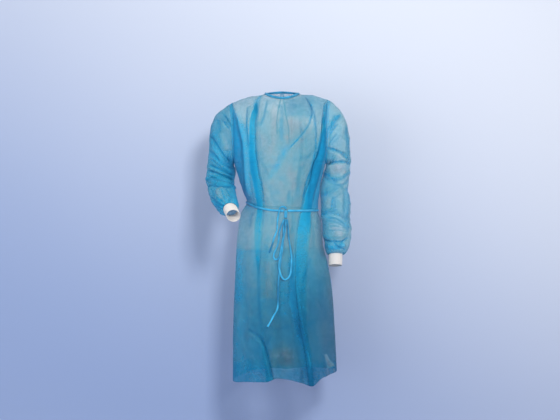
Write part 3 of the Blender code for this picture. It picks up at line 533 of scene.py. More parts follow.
# The placed creases of the front, the back, the bent right sleeve and the hanging left one.
FRONT_CREASES = crease_rows(
    (-1.4, 3, 1, 1.5, (80, -4), (90, -21), (102, -42), (113, -77), (103, -127), (76, -169), (51, -198),
     (31, -220), (15, -240)),
    (2, 7, 1, -0.25, (108, -30), (125, -77), (114, -133), (84, -181), (50, -216)),
    (2.2, 8, 1, 0, (79, -130), (50, -167), (19, -199), (-12, -227)),
    (-2.4, 12.5, 0.75, 0.8, (70, -172), (43, -201), (20, -222), (2, -250), (-12, -281), (-31, -312),
     (-56, -352)),
    (-1.5, 16, 1, 0.1, (5, -250), (-18, -284), (-35, -318)),
    (2.5, 13, 1, 0, (-23, -250), (-41, -278), (-60, -307)),
    (1.2, 5, 0.6, 1.2, (117, -63), (124, -112), (129, -158), (129, -204), (123, -256), (110, -307)),
    (-1.4, 5, 1, 1.5, (-178, -77), (-161, -153), (-150, -204), (-144, -261), (-141, -329),
     (-138, -397)),
    (0.8, 10, 1, 0.2, (-185, -77), (-177, -135), (-168, -199), (-162, -267)),
    (-1.2, 4, 1, 1.3, (-131, -54), (-134, -95), (-133, -141), (-128, -187), (-125, -227)),
    (-1.2, 4.5, 1, 0.9, (-56, -33), (-63, -71), (-70, -104), (-85, -144)),
    (1.6, 9, 1, 0.5, (-95, -48), (-98, -95), (-95, -147)),
    (2, 10, 1, -0.35, (-32, -42), (-26, -95), (-32, -181), (-41, -250)),
    (-1.4, 8, 1, 0.55, (-12, -42), (-1, -83), (-3, -147), (-2, -204)),
    (1.8, 12, 1, -0.25, (33, -95), (39, -147), (50, -158)),
    (1.2, 14, 1, -0.3, (-75, -158), (-63, -216), (-66, -261)),
    (-1.2, 12, 1, 0.35, (28, -42), (51, -60), (85, -57)),
    (1.4, 6, 0.6, 0.1, (-97, -291), (-63, -292), (-24, -286)),
    (-1.2, 6, 1, 0.1, (-80, -278), (-41, -295), (5, -298)),
    (1.6, 6, 0.6, 0.3, (62, -256), (96, -250), (115, -239)),
    (-1.4, 6, 1, 0.4, (50, -273), (84, -261), (114, -253)),
    (1.8, 14, 1, -0.3, (28, -278), (39, -329), (50, -380)),
    (-1.6, 9, 1, 0.3, (-46, -352), (-38, -397), (-35, -431)),
    (1.6, 9, 1, -0.2, (-7, -340), (-1, -386), (2, -431)),
    (-1.6, 9, 1, 0.4, (73, -284), (62, -352), (56, -409)),
    (-1.2, 6, 1, 0.3, (-82, -329), (-79, -374), (-76, -431)),
    (-2, 6, 1, 0.6, (28, -380), (25, -409), (25, -437)),
    (1.8, 6, 1, 0.1, (-61, -386), (-58, -434)),
    (-1.2, 4, 1, 1.2, (163, -77), (156, -141), (145, -199), (133, -256), (116, -312), (103, -374),
     (97, -434)),
    (-1, 4, 1, 0.9, (150, -273), (136, -329), (126, -380), (117, -434)),
    (-1.4, 4.5, 1, 1.5, (128, -256), (110, -307), (92, -357), (79, -420)),
    (1.4, 6, 1, -0.3, (154, -227), (140, -278), (127, -329), (114, -374)),
    (-2, 6, 1, 0.6, (-110, -463), (-115, -488), (-116, -530)),
    (1.8, 7, 1, 0.1, (-54, -463), (-50, -509)),
    (-2, 7, 1, 0.4, (41, -463), (42, -502), (37, -551)),
    (-1.6, 7, 1, 0.4, (-33, -474), (-40, -516)),
    (-1, 4.5, 1, 0.55, (-161, -614), (-92, -613), (-22, -611), (42, -609)),
    (1.2, 8, 0.5, 0.1, (-161, -620), (-92, -619), (-22, -616), (42, -615)),
    (-1.5, 6, 1, 0.7, (-92, -613), (-87, -703), (-86, -800), (-83, -855), (-75, -903)),
    (1.8, 18, 1, 0.9, (-163, -578), (-168, -689), (-169, -827)),
    (1.6, 20, 1, -0.45, (-121, -627), (-116, -689), (-114, -758)),
    (2.2, 22, 1, -0.7, (-60, -634), (-51, -717), (-60, -800)),
    (-1.5, 26, 1, 0.6, (-5, -710), (6, -786), (-1, -869)),
    (-1.2, 15, 1, 1.7, (38, -613), (42, -689), (41, -758), (49, -827), (67, -903), (82, -965)),
    (1.2, 5, 0.5, -0.5, (57, -613), (53, -661), (54, -710), (60, -772), (70, -841), (82, -910),
     (96, -985), (108, -1061), (113, -1109)),
    (-1.4, 6, 1, 0.6, (105, -634), (88, -689), (75, -738)),
    (1.6, 9, 1, -0.2, (86, -488), (93, -551), (96, -620)),
    (-1.4, 7, 1, 0.4, (112, -474), (115, -551), (116, -634)),
    (-1.5, 4.5, 1, 1.2, (-138, -898), (-112, -911), (-88, -925), (-69, -955), (-55, -999), (-43, -1047),
     (-33, -1095)),
    (1.8, 6, 0.6, -0.3, (-142, -907), (-116, -922), (-94, -935), (-77, -962), (-63, -1005),
     (-51, -1051), (-43, -1096)),
    (-1.2, 5, 1, 0.5, (-74, -900), (-36, -905), (6, -898), (40, -888)),
    (-1.2, 6, 1, 0.5, (-32, -918), (-51, -943), (-65, -969)),
    (-1.4, 28, 1, 0.5, (-88, -951), (-70, -1013), (-63, -1074)),
    (1.6, 30, 1, -0.5, (3, -937), (18, -1006), (33, -1074)),
    (1.5, 14, 1, 1.2, (70, -896), (85, -972), (100, -1040), (109, -1105)),
    (1.8, 24, 1, -0.3, (141, -869), (155, -965)),
    (2, 5, 1, -0.9, (150, -999), (163, -1025), (180, -1051)),
    (-1.6, 5, 1, 0.8, (140, -996), (155, -1028), (172, -1057)),
    (1.5, 14, 1, -0.6, (-174, -1092), (-152, -1064), (-125, -1042)),
    (-1.4, 10, 1, 0.5, (-160, -1013), (-132, -1023), (-105, -1047)),
    (-1.5, 14, 1, 0.4, (131, -710), (145, -800), (158, -896)),
    (1.8, 14, 1, -0.2, (176, -745), (183, -855), (193, -965)),
)
BACK_CREASES = crease_rows(
    (2.4, 9, 0.4, 0.5, (-78, -70), (-86, -150), (-80, -240), (-66, -350)),
    (-2.4, 8, 1, 1, (-94, -80), (-103, -160), (-97, -250), (-80, -370)),
    (2.6, 9, 1, 0.3, (84, -60), (94, -170), (86, -290), (70, -390)),
    (-2.2, 7, 1, 1, (68, -80), (78, -170), (70, -280), (56, -380)),
    (-2.2, 7, 1, 0.9, (-165, -170), (-120, -215), (-74, -275), (-52, -330)),
    (2, 7, 1, 0.2, (-160, -196), (-118, -238), (-80, -296)),
    (-2.2, 8, 1, 0.9, (150, -190), (104, -240), (70, -300)),
    (1.8, 7, 1, 0.2, (148, -220), (106, -268), (76, -325)),
    (-2, 7, 1, 0.6, (-60, -400), (-52, -440)),
    (2, 7, 1, 0.2, (-30, -392), (-26, -440)),
    (-2, 7, 1, 0.6, (44, -396), (40, -440)),
    (1.8, 7, 0.35, 0.6, (-150, -612), (-60, -607), (40, -612), (150, -606)),
    (-3, 13, 1, 1, (-60, -500), (-66, -660), (-74, -850), (-84, -1060)),
    (3, 13, 1, -0.2, (-118, -560), (-128, -760), (-136, -1000)),
    (-3.2, 14, 1, 1.2, (50, -520), (56, -680), (68, -880), (78, -1080)),
    (3, 13, 1, -0.2, (126, -580), (140, -800), (152, -1040)),
    (2.4, 6, 0.35, 0.5, (160, -900), (120, -918), (88, -950), (66, -1010), (56, -1090)),
    (-2.4, 7, 1, 1, (160, -890), (114, -908), (80, -944), (56, -1000)),
    (-2, 7, 1, 0.6, (-160, -880), (-120, -900), (-90, -940)),
)
BENT_CREASES = crease_rows(
    (-2, 4, 1, 1, (-232, -111), (-211, -122), (-192, -136)),
    (2, 18, 1, 0.4, (-264, -145), (-261, -195), (-245, -240), (-218, -285)),
    (2, 18, 1, 0.35, (-254, -95), (-268, -149), (-274, -208), (-268, -276)),
    (2, 18, 1, -0.5, (-216, -140), (-211, -186), (-207, -231)),
    (-2.5, 5, 1, 0.9, (-277, -231), (-252, -258), (-223, -281), (-191, -303)),
    (-3, 5, 1, 1.7, (-286, -279), (-257, -293), (-223, -309), (-185, -326)),
    (3, 6, 0.6, -0.2, (-288, -290), (-257, -304), (-223, -318), (-185, -334)),
    (-4, 5, 1, 2.2, (-291, -302), (-254, -313), (-218, -327), (-182, -344)),
    (4, 7, 0.6, 0.6, (-300, -316), (-259, -326), (-220, -336), (-182, -354)),
    (-3, 5, 1, 1.5, (-286, -331), (-249, -337), (-213, -348), (-178, -365)),
    (7, 9, 0.7, 0.9, (-309, -331), (-290, -334), (-253, -348), (-217, -356), (-178, -377)),
    (-4, 5, 1, 2, (-297, -372), (-275, -362), (-235, -364), (-183, -372)),
    (2.5, 12, 1, 1.2, (-195, -349), (-182, -377), (-176, -409), (-163, -449)),
    (2, 16, 1, -0.6, (-249, -372), (-234, -399), (-226, -418)),
    (-2, 4.5, 1, 0.9, (-264, -368), (-249, -399), (-235, -418), (-217, -424)),
    (-3, 5, 1, 1.6, (-277, -404), (-255, -420), (-229, -436), (-204, -444)),
    (4.5, 12, 1, 1, (-274, -424), (-249, -433), (-224, -444), (-204, -451)),
    (-3.5, 5, 1, 1.7, (-257, -446), (-237, -450), (-223, -457), (-208, -470)),
    (-2.5, 5, 1, 0.9, (-194, -404), (-198, -429), (-204, -449)),
    (2.5, 6, 0.6, 0, (-200, -404), (-205, -427), (-211, -444)),
    (-2, 6, 1, 0.7, (-250, -100), (-241, -127), (-236, -163)),
    (-1.5, 3.2, 1, 1.6, (-224, -88), (-209, -109), (-195, -133)),
    (-1.2, 3, 1, 1.2, (-236, -101), (-218, -125), (-199, -148)),
    (1.6, 5, 1, -0.4, (-238, -113), (-218, -135), (-199, -156)),
    (-2.2, 3.6, 0.7, 1.9, (-283, -170), (-263, -181), (-250, -203), (-236, -226), (-216, -252),
     (-195, -271)),
    (1.8, 9, 1, -0.5, (-234, -156), (-222, -195), (-211, -230)),
    (-1.8, 3.4, 0.7, 1.4, (-285, -226), (-263, -236), (-250, -252), (-238, -273)),
    (-1.6, 3.2, 1, 1.3, (-277, -261), (-257, -273), (-234, -291), (-203, -312)),
    (1.6, 5, 1, -0.6, (-273, -304), (-250, -314), (-226, -324)),
    (-1.8, 3.2, 1, 2.4, (-226, -320), (-211, -328), (-191, -339)),
    (-1.6, 3.2, 1, 1.3, (-273, -369), (-265, -390), (-257, -413), (-248, -429)),
    (-1.6, 3.2, 1, 1.2, (-216, -369), (-201, -390), (-183, -417)),
    (-1.2, 3.2, 1, 0.9, (-234, -370), (-224, -390), (-214, -417)),
    (1.6, 6, 1, -0.5, (-254, -378), (-244, -402), (-238, -421)),
)
HANGING_CREASES = crease_rows(
    (2.5, 12, 0.7, 0.6, (223, -85), (201, -122), (184, -153), (174, -190)),
    (-2.5, 5, 1, 0.7, (208, -85), (192, -122), (179, -153)),
    (-2.5, 5, 1, 1.5, (164, -213), (192, -222), (220, -234), (248, -256), (269, -270)),
    (2.5, 7, 0.6, -0.3, (168, -228), (195, -234), (220, -247), (245, -267)),
    (-2.8, 5, 1, 1.6, (152, -295), (180, -278), (207, -271), (238, -271), (272, -282)),
    (2.5, 7, 0.6, -0.3, (170, -295), (207, -284), (248, -289)),
    (2, 18, 1, -0.7, (183, -306), (214, -298), (248, -305)),
    (3, 7, 0.6, 1.1, (146, -301), (167, -316), (192, -333), (220, -337), (245, -321), (272, -301)),
    (-2.5, 5.5, 1, 0.9, (158, -322), (189, -348), (223, -361), (254, -348), (272, -326)),
    (-2, 6, 1, 0.6, (152, -406), (183, -386), (220, -370), (248, -375)),
    (2, 7, 0.6, 0.2, (158, -431), (180, -406), (208, -384), (239, -381)),
    (2, 14, 1, -0.5, (179, -400), (179, -461)),
    (-2.2, 5, 1, 0.8, (194, -400), (202, -431), (195, -461)),
    (-2.5, 5.5, 1, 1, (140, -480), (177, -466), (214, -473), (254, -502), (270, -517)),
    (2.5, 8, 0.6, -0.2, (152, -492), (189, -484), (223, -496), (257, -527)),
    (2, 20, 1, -0.35, (177, -531), (236, -537)),
    (-2, 5, 1, 0.7, (214, -492), (239, -517), (252, -548)),
    (-3.5, 5, 1, 1.8, (152, -564), (189, -577), (226, -577), (260, -558)),
    (3.5, 10, 1, 1.3, (158, -595), (202, -600), (248, -588)),
    (-2.5, 4.5, 1, 1.3, (194, -574), (207, -591), (223, -607)),
    (-2.5, 4.5, 1, 1, (242, -570), (226, -588), (217, -610)),
    (2.5, 7, 1, 1, (246, -116), (251, -178), (253, -239), (252, -282)),
    (2.5, 7, 1, 1, (256, -350), (255, -412), (252, -474), (247, -560)),
    (-2, 5, 1, 0.7, (242, -375), (241, -437), (239, -486)),
    (-4, 10, 1, 0.3, (226, -382), (279, -377)),
    (-3, 8, 1, 0.4, (229, -487), (279, -484)),
    (3.5, 12, 1, 0.2, (226, -515), (277, -522)),
    (-2.2, 6, 1, 0.4, (232, -155), (274, -166)),
    (2.5, 14, 1, 0, (232, -263), (277, -266)),
    (-3.5, 8, 1, 0.8, (133, -327), (164, -322), (189, -319)),
    (3, 10, 1, 0.2, (134, -475), (177, -478)),
    (1.8, 8, 1, 1.1, (181, -148), (203, -113), (226, -86)),
    (-1.6, 3.4, 1, 1.3, (183, -168), (199, -144), (216, -123)),
    (-1.4, 3, 1, 1.1, (179, -205), (195, -183), (213, -160)),
    (-1.2, 3, 1, 0.9, (187, -211), (207, -187), (230, -168)),
    (-1.6, 3, 1, 1.2, (175, -222), (200, -225), (226, -233), (250, -246)),
    (-1.8, 3.2, 1, 1.5, (172, -289), (198, -276), (223, -267), (254, -269)),
    (-1.8, 3, 1, 1.6, (159, -310), (183, -326), (200, -343), (218, -347)),
    (-1.2, 3, 1, 0.9, (179, -355), (199, -351), (226, -335), (246, -312)),
    (-1.2, 3, 1, 0.9, (175, -409), (195, -388), (218, -370), (242, -357)),
    (-1.2, 3, 1, 0.8, (187, -429), (207, -406), (230, -388)),
    (-1.2, 3, 1, 0.8, (168, -378), (187, -367), (207, -365)),
    (-1.4, 3.2, 1, 1.4, (186, -460), (191, -433), (194, -409)),
    (-1.6, 3.2, 1, 1.3, (156, -474), (175, -471), (195, -460), (218, -452)),
    (-1.4, 3, 1, 1.2, (174, -485), (203, -487), (229, -499), (248, -515)),
    (-1.4, 3, 1, 1, (179, -497), (207, -501), (230, -515), (246, -530)),
    (-1.4, 3, 1, 1, (179, -536), (218, -533), (242, -539)),
    (-1.2, 3, 1, 0.8, (183, -519), (203, -517), (222, -521)),
    (-1.8, 3.2, 1, 1.6, (199, -585), (214, -595), (244, -610)),
    (1.8, 9, 1, -0.5, (207, -281), (218, -294), (230, -304)),
    (1.6, 9, 1, -0.3, (183, -503), (199, -515), (218, -526)),
    (1.6, 9, 1, -0.25, (203, -544), (218, -554), (230, -562)),
)
# Zones of doubled cloth. The first, by the right armhole, is painted shade on the side of the body that
# turns away from the light. The last is painted light: it pales the chest where the gown's shadow on the
# wall shows through.
FRONT_ZONES = (
    zone(1.9, 22, (-420, -300, -132), (-323, -300, -139), (-219, -300, -143), (-177, -300, -150),
         (-147, -300, -162), (-93, -300, -174), (-60, -300, -186)),
    zone(1.25, 34, (-450, -300, -90), (-330, -300, -96), (-210, -300, -112), (-160, -300, -126),
         (-115, -300, -158), (-85, -300, -180)),
    zone(1.2, 10, (-90, -114, -92), (-50, -108, -88), (-10, -90, -76)),
    zone(0.6, 6, (-155, -140, -125), (-125, -137, -120), (-100, -136, -117), (-60, -133, -112)),
    zone(1.4, 10, (-125, 150, 183), (-85, 158, 183), (-45, 167, 176)),
    zone(1.9, 26, (-455, 92, 300), (-390, 96, 300), (-290, 115, 300), (-190, 144, 300),
         (-150, 155, 300)),
    zone(0.75, 34, (-100, 10, 120), (-60, 10, 120), (-20, 10, 110)),
    zone(0.6, 34, (-70, 108, 190), (-30, 100, 190), (-2, 90, 190)),
    zone(-0.3, 34, (-230, 10, 70), (-170, 12, 85), (-110, 15, 85)),
)
# The zone over the yoke also carries painted shade.
YOKE = FRONT_ZONES[6:7]
# The hanging sleeve's soft shade on the skirt.
ARM_SHADOW = (zone(0.6, 20, (-640, 150, 300), (-560, 140, 300), (-460, 132, 300)),)
# The corner of the hem that is turned up and catches the light.
TURNED_CORNER = (zone(1, 7, (-1056, 165, 206), (-1032, 160, 187), (-1002, 156, 166)),)
# Small creases: seed of the draw, count, corners of the field, lean and its spread.
FRONT_SMALL = (11, 120, (-0.18, -1.10), (0.19, -0.05), 0.0, 0.55)
BACK_SMALL = (23, 130, (-0.18, -1.10), (0.19, -0.04), 0.0, 0.6)
# Slow swells: seed of the draw, length across, length down, height.
FRONT_SWELLS = ((5, 0.075, 0.42, 0.0012), (6, 0.034, 0.09, 0.0005))
BACK_SWELLS = ((8, 0.08, 0.40, 0.0012), (9, 0.034, 0.09, 0.0005))
# The same on a sleeve, whose swells have their seed after its own and fade towards its inner side.
SLEEVE_SMALL_COUNT, SLEEVE_SMALL_LEAN, SLEEVE_SMALL_SPREAD, SLEEVE_SMALL_HEIGHT = 110, 1.2, 0.6, 1.6
SLEEVE_MARGIN, SLEEVE_TOP = 0.03, 0.02
SLEEVE_SWELLS = ((1, 0.16, 0.09, 0.0018), (2, 0.05, 0.035, 0.0006))
# The bent sleeve is bunched up, so it counts for more layers than the hanging one.
SLEEVE_LAYERS = {-1: 0.85, 1: 0.15}
# How far the creases behind a sleeve are moved from those in front.
BEHIND_MOVED_X, BEHIND_MOVED_Z = 0.004, 0.011
# Gathers at a sleeve's end: how many, how high, and the layers between them.
GATHERS, GATHER_HEIGHT, GATHER_LAYERS = 19, 0.0024, 0.7
# They start this many rings before the last one and grow over this many.
GATHER_RINGS, GATHERED_OVER = 3.2, 2.2
# The seam at the armhole: its depth down the sleeve, and how softly it ends.
ARMHOLE_SEAM, ARMHOLE_SEAM_SOFTNESS = 0.0085, 0.002
# Creases are held down over these rings at the armhole and above the cuff.
HELD_AT_ARMHOLE, HELD_AT_CUFF = 0.5, 0.7
# Shades: an even darkening of both sleeves, and painted shade on the bent one above its elbow.
SLEEVE_SHADE, UPPER_ARM_PAINTED_SHADE, UPPER_ARM_Z, UPPER_ARM_OVER = 0.06, 0.34, -0.26, 0.14
# The folds inside the bent elbow as layers and painted shade, and the layers inside the hanging sleeve.
ELBOW_LAYERS, ELBOW_PAINTED_SHADE, HANGING_INNER_LAYERS = 1.8, 0.45, 0.5
# The bags of cloth on the inner sides: at the bent elbow, and down the hanging sleeve between its folds,
# which tie it in at these heights, over this reach and by this much.
ELBOW_Z, ELBOW_REACH, ELBOW_BAG, ELBOW_BAG_TOP_Z = -0.288, 0.034, 0.010, -0.266
BAG, BAG_TOP_Z, BAG_END_Z, UPPER_BAG, UPPER_BAG_Z = 0.007, -0.235, -0.585, 0.003, -0.34
BAG_FLAT_Z, BAG_FLAT_REACH, BAG_FLATTENED = -0.435, 0.035, 0.6
TIED_IN = ((-0.503, 0.035, 0.0042), (-0.312, 0.045, 0.0055))


def nearest(x, z, points):
    """Distance from a smooth run, positive on its left, and the share of the run passed."""
    away = np.full(x.shape, 1e9)
    place = np.zeros(x.shape)
    points = spline(points, 6 * len(points))
    for i, (start, end) in enumerate(zip(points[:-1], points[1:])):
        run = end - start
        t = np.clip(((x - start[0]) * run[0] + (z - start[1]) * run[1]) / (run @ run), 0, 1)
        dx, dz = x - start[0] - t * run[0], z - start[1] - t * run[1]
        length = np.hypot(dx, dz)
        closer = length < np.abs(away)
        away[closer] = (length * np.sign(run[0] * dz - run[1] * dx + 1e-12))[closer]
        place[closer] = ((i + t) / (len(points) - 1))[closer]
    return away, place


def creased(x, z, creases, drawn=True):
    """What creases give at each place: height, layers from the broad or undrawn ones, and for the strongest
    narrow one the distance in half widths and the layers that it adds at its middle."""
    shape = x.shape
    x, z = x.ravel(), z.ravel()
    height, layers, depth = np.zeros(x.shape), np.zeros(x.shape), np.zeros(x.shape)
    line, strongest, owner = np.full(x.shape, NO_LINE), np.zeros(x.shape), np.full(x.shape, -1)
    for crease, (rise, half_width, sharpness, doubled, *points) in enumerate(creases):
        width = half_width / 1000
        margin = CREASE_REACH * width
        low, high = np.min(points, axis=0) - margin, np.max(points, axis=0) + margin
        near = np.flatnonzero((x > low[0]) & (x < high[0]) & (z > low[1]) & (z < high[1]))
        if not len(near):
            continue
        away, place = nearest(x[near], z[near], points)
        reach = np.where(away > 0, width * sharpness, width)
        ends = ease(place / CREASE_END) * before(place, 1, CREASE_END)
        swell = np.exp(-((away / np.maximum(reach, CREASE_FINEST)) ** 2))
        height[near] += CREASE_HEIGHT * rise / 1000 * swell * ends
        widths = away / reach
        if half_width > CREASE_BROAD or not drawn:
            layers[near] += doubled * np.exp(-(widths**2)) * ends
            continue
        strength = np.abs(doubled) * ends * np.exp(-(widths**2))
        wins = strength > strongest[near]
        chosen, widths = near[wins], widths[wins]
        strongest[chosen], line[chosen], owner[chosen] = strength[wins], widths, crease
        depth[chosen] = CREASE_DEPTH * doubled * ends[wins] * np.exp(-((widths / LINE_SPREAD) ** 2))
    grids = [grid.reshape(shape) for grid in (height, layers, line, depth, owner)]
    return *grids[:3], clear_of_switches(*grids[2:])


def clear_of_switches(line, depth, owner):
    """Depth without the false lines that would show where one crease's far side meets another's."""
    switched = np.zeros(line.shape, bool)
    all_of, later, earlier = slice(None), slice(1, None), slice(None, -1)
    for ahead, behind in (
        ((later, all_of), (earlier, all_of)),
        ((all_of, later), (all_of, earlier)),
        ((later, later), (earlier, earlier)),
        ((later, earlier), (earlier, later)),
    ):
        apart = (owner[ahead] != owner[behind]) & (line[ahead] * line[behind] < 0)
        switched[ahead] |= apart
        switched[behind] |= apart
    return np.where(switched & (np.abs(line) > LINE_CORE), 0, depth)


def crumple(seed, count, low, high, lean, spread):
    """Small creases at random places of a field, most of them leaning by an angle from the upright."""
    draw = np.random.default_rng(seed)
    steps = np.linspace(0, 1, 4)
    made = []
    for _ in range(count):
        start = draw.uniform(low, high)
        angle = lean + draw.normal(0, spread)
        turned = angle + draw.normal(0, 0.5) * steps
        length = draw.uniform(*SMALL_CREASE_LENGTH)
        run = np.cumsum(np.stack([np.sin(turned), -np.cos(turned)], axis=-1), axis=0) * length / 4
        rise = draw.uniform(0.5, 1.5) * draw.choice((-1, 1))
        # Hollows get more layers and ridges fewer: partly doubled cloth, partly painted shade in the hollows
        # and painted highlight on the ridges.
        layers = draw.uniform(0.0, 0.35) if rise < 0 else draw.uniform(-0.2, 0.1)
        half_width, sharpness = draw.uniform(*SMALL_CREASE_WIDTH), draw.choice((0.5, 1.0))
        made.append((rise, half_width, sharpness, layers, *(start + run)))
    return tuple(made)


def unevenness(x, z, seed, across, down, height, waves=7):
    """Slow hollows and swells: a few waves of unlike lengths and directions."""
    draw = np.random.default_rng(seed)
    total = np.zeros(x.shape)
    for _ in range(waves):
        wave_x, wave_z = across * draw.uniform(0.6, 1.7), down * draw.uniform(0.6, 1.7)
        shift, slant = draw.uniform(0, 2 * math.pi, 2)
        total += np.sin(2 * math.pi * (x / wave_x + z / wave_z * math.copysign(1, slant - math.pi)) + shift)
    return total * height / waves**0.5


def wrinkled(x, z, creases, small, swells):
    """Height, layers, line and depth from the placed creases, the small ones and the slow swells."""
    height, layers, line, depth = creased(x, z, creases)
    small_height, small_layers, _, _ = creased(x, z, small, drawn=False)
    height, layers = height + small_height, layers + small_layers
    for swell in swells:
        height = height + unevenness(x, z, *swell)
    return height, layers, line, depth


def zone_layers_and_painted_shade(x, z, zones):
    layers = np.zeros(x.shape)
    for doubled, soft, rows in zones:
        left, right = smooth(rows, "left", z, "z"), smooth(rows, "right", z, "z")
        inside = ease((x - left) / soft + 0.5) * ease((right - x) / soft + 0.5)
        inside = inside * ease((z - rows["z"][0]) / soft + 0.5) * ease((rows["z"][-1] - z) / soft + 0.5)
        layers += doubled * inside
    return layers


def even_levels(name, count):
    """Levels whose rows are evenly spaced in height along the centre line."""
    fine = np.linspace(0, HEM, 2801)
    height = smooth(CENTRE, name + "_z", fine)
    return np.interp(np.linspace(height[0], height[-1], count), height[::-1], fine[::-1])


def fine_front_columns():
    folded = FOLD_LINES[:-1] / (2 * PLEAT_FADE) + 0.5
    edge, right, middle, left = (
        np.linspace(start, start + 1, count)[:-1] for start, count in ((0, 4), (1, 22), (3, 44), (5, 16))
    )
    return np.concatenate([edge, right, 2 + folded, middle, 4 + folded, left, np.linspace(6, 7, 4)])


def fine_back_columns():
    outer = np.linspace(1, 2, BACK_OUTER_COLUMNS)[:-1]
    return np.concatenate([np.linspace(0, 1, 4)[:-1], outer, np.linspace(2, 3, BACK_LAP_COLUMNS)])


def passed(points):
    """The length passed at each point of a path."""
    return np.concatenate([[0], np.cumsum(np.linalg.norm(np.diff(points, axis=0), axis=-1))])


def surface_lengths(points):
    """Lengths along the rows from the middle and along the columns from the top, to lay a finish on."""
    across = np.linalg.norm(np.diff(points, axis=1), axis=-1)
    across = np.concatenate([np.zeros((len(points), 1)), np.cumsum(across, axis=1)], axis=1)
    down = np.linalg.norm(np.diff(points, axis=0), axis=-1).mean(axis=1)
    down = np.concatenate([[0], np.cumsum(down)])
    middle = across[:, points.shape[1] // 2]
    return across - middle[:, None], np.broadcast_to(-down[:, None], across.shape)


def with_finish(points, layers, line=NO_LINE, depth=0.0, shade=0.0):
    """One grid: x, y, z, the four values that the finish reads (layers, line, depth and painted shade), and
    the two lengths that it is laid on.
    """
    values = [np.broadcast_to(value, points.shape[:2]) for value in (layers, line, depth, shade)]
    return np.concatenate([points, np.stack([*values, *surface_lengths(points)], axis=-1)], axis=-1)


def pressed_flat(level):
    """How far creases are held down by the neck binding and under the belt."""
    under_belt = np.exp(-(((level - BELT) / BELT_HOLD_LEVELS) ** 2))
    return ease(level / BINDING_HOLD_LEVELS) * (1 - BELT_HOLD * under_belt)


def pleat_layers(pleat, level, x):
    """The doubled cloth of a pleat: clear at its folds, streaked along its run, fading below the belt, with
    a painted shadow along its folded edge.
    """
    left, right = smooth(pleat, "left", level), smooth(pleat, "right", level)
    side = -1 if pleat["left"][0] < 0 else 1
    width = right - left
    soft = PLEAT_SOFTNESS + PLEAT_SOFTER * past(level, PLEAT_SOFTENS_FROM, PLEAT_SOFTENS_OVER)
    inside = ease((x - left) / soft) * ease((right - x) / soft)
    place = np.clip((x - left) / np.maximum(width, 1e-4), 0, 1)
    broad = np.sin(9 * place + 1.4 * np.sin(0.8 * level) + side)
    streaks = 1 + 0.25 * broad + 0.12 * np.sin(23 * place + level)
    below = past(level, BELT, PLEAT_FADES_OVER)
    fading = 1 - below * (PLEAT_FADED + PLEAT_OUTER_FADED * np.where(side > 0, place, 1 - place))
    shown = (level >= pleat["level"][0]) * ease(width / PLEAT_NARROWEST)
    # The painted shadow that the top layer casts along the folded edge.
    from_edge = x - (left if side > 0 else right) + side * PLEAT_EDGE_INSET
    edge_shadow = PLEAT_EDGE_SHADOW_LAYERS * np.exp(-((from_edge / PLEAT_EDGE_WIDTH) ** 2))
    edge_shadow = edge_shadow * (1 - PLEAT_EDGE_FADED * below)
    edge_shadow = edge_shadow * past(width, 0.006, 0.012)
    return (PLEAT_LAYERS[side] * inside * streaks * fading + edge_shadow) * shown


def skirt_painted_shade(x, z):
    """The skirt's painted shade and closer layers, growing from the hip to the hem."""
    below = before(z, HIP_Z, SKIRT_DEEPENS_OVER)
    left, right = past(x, 0.02, 0.10), before(x, -0.10, 0.06)
    aside = SKIRT_PAINTED_SHADE + LEFT_SKIRT_PAINTED_SHADE * left - RIGHT_SKIRT_PAINTED_SHADE * right
    return aside * below, THIGH_LAYERS * before(z, THIGH_Z, 0.02) + SKIRT_LAYERS * below


def seam_layers(s):
    """The doubled cloth of a panel's seams, by its edges at s = -1 and 1."""
    return SEAM_LAYERS * ease((np.abs(s) - SEAM_FROM) / SEAM_SOFTNESS)


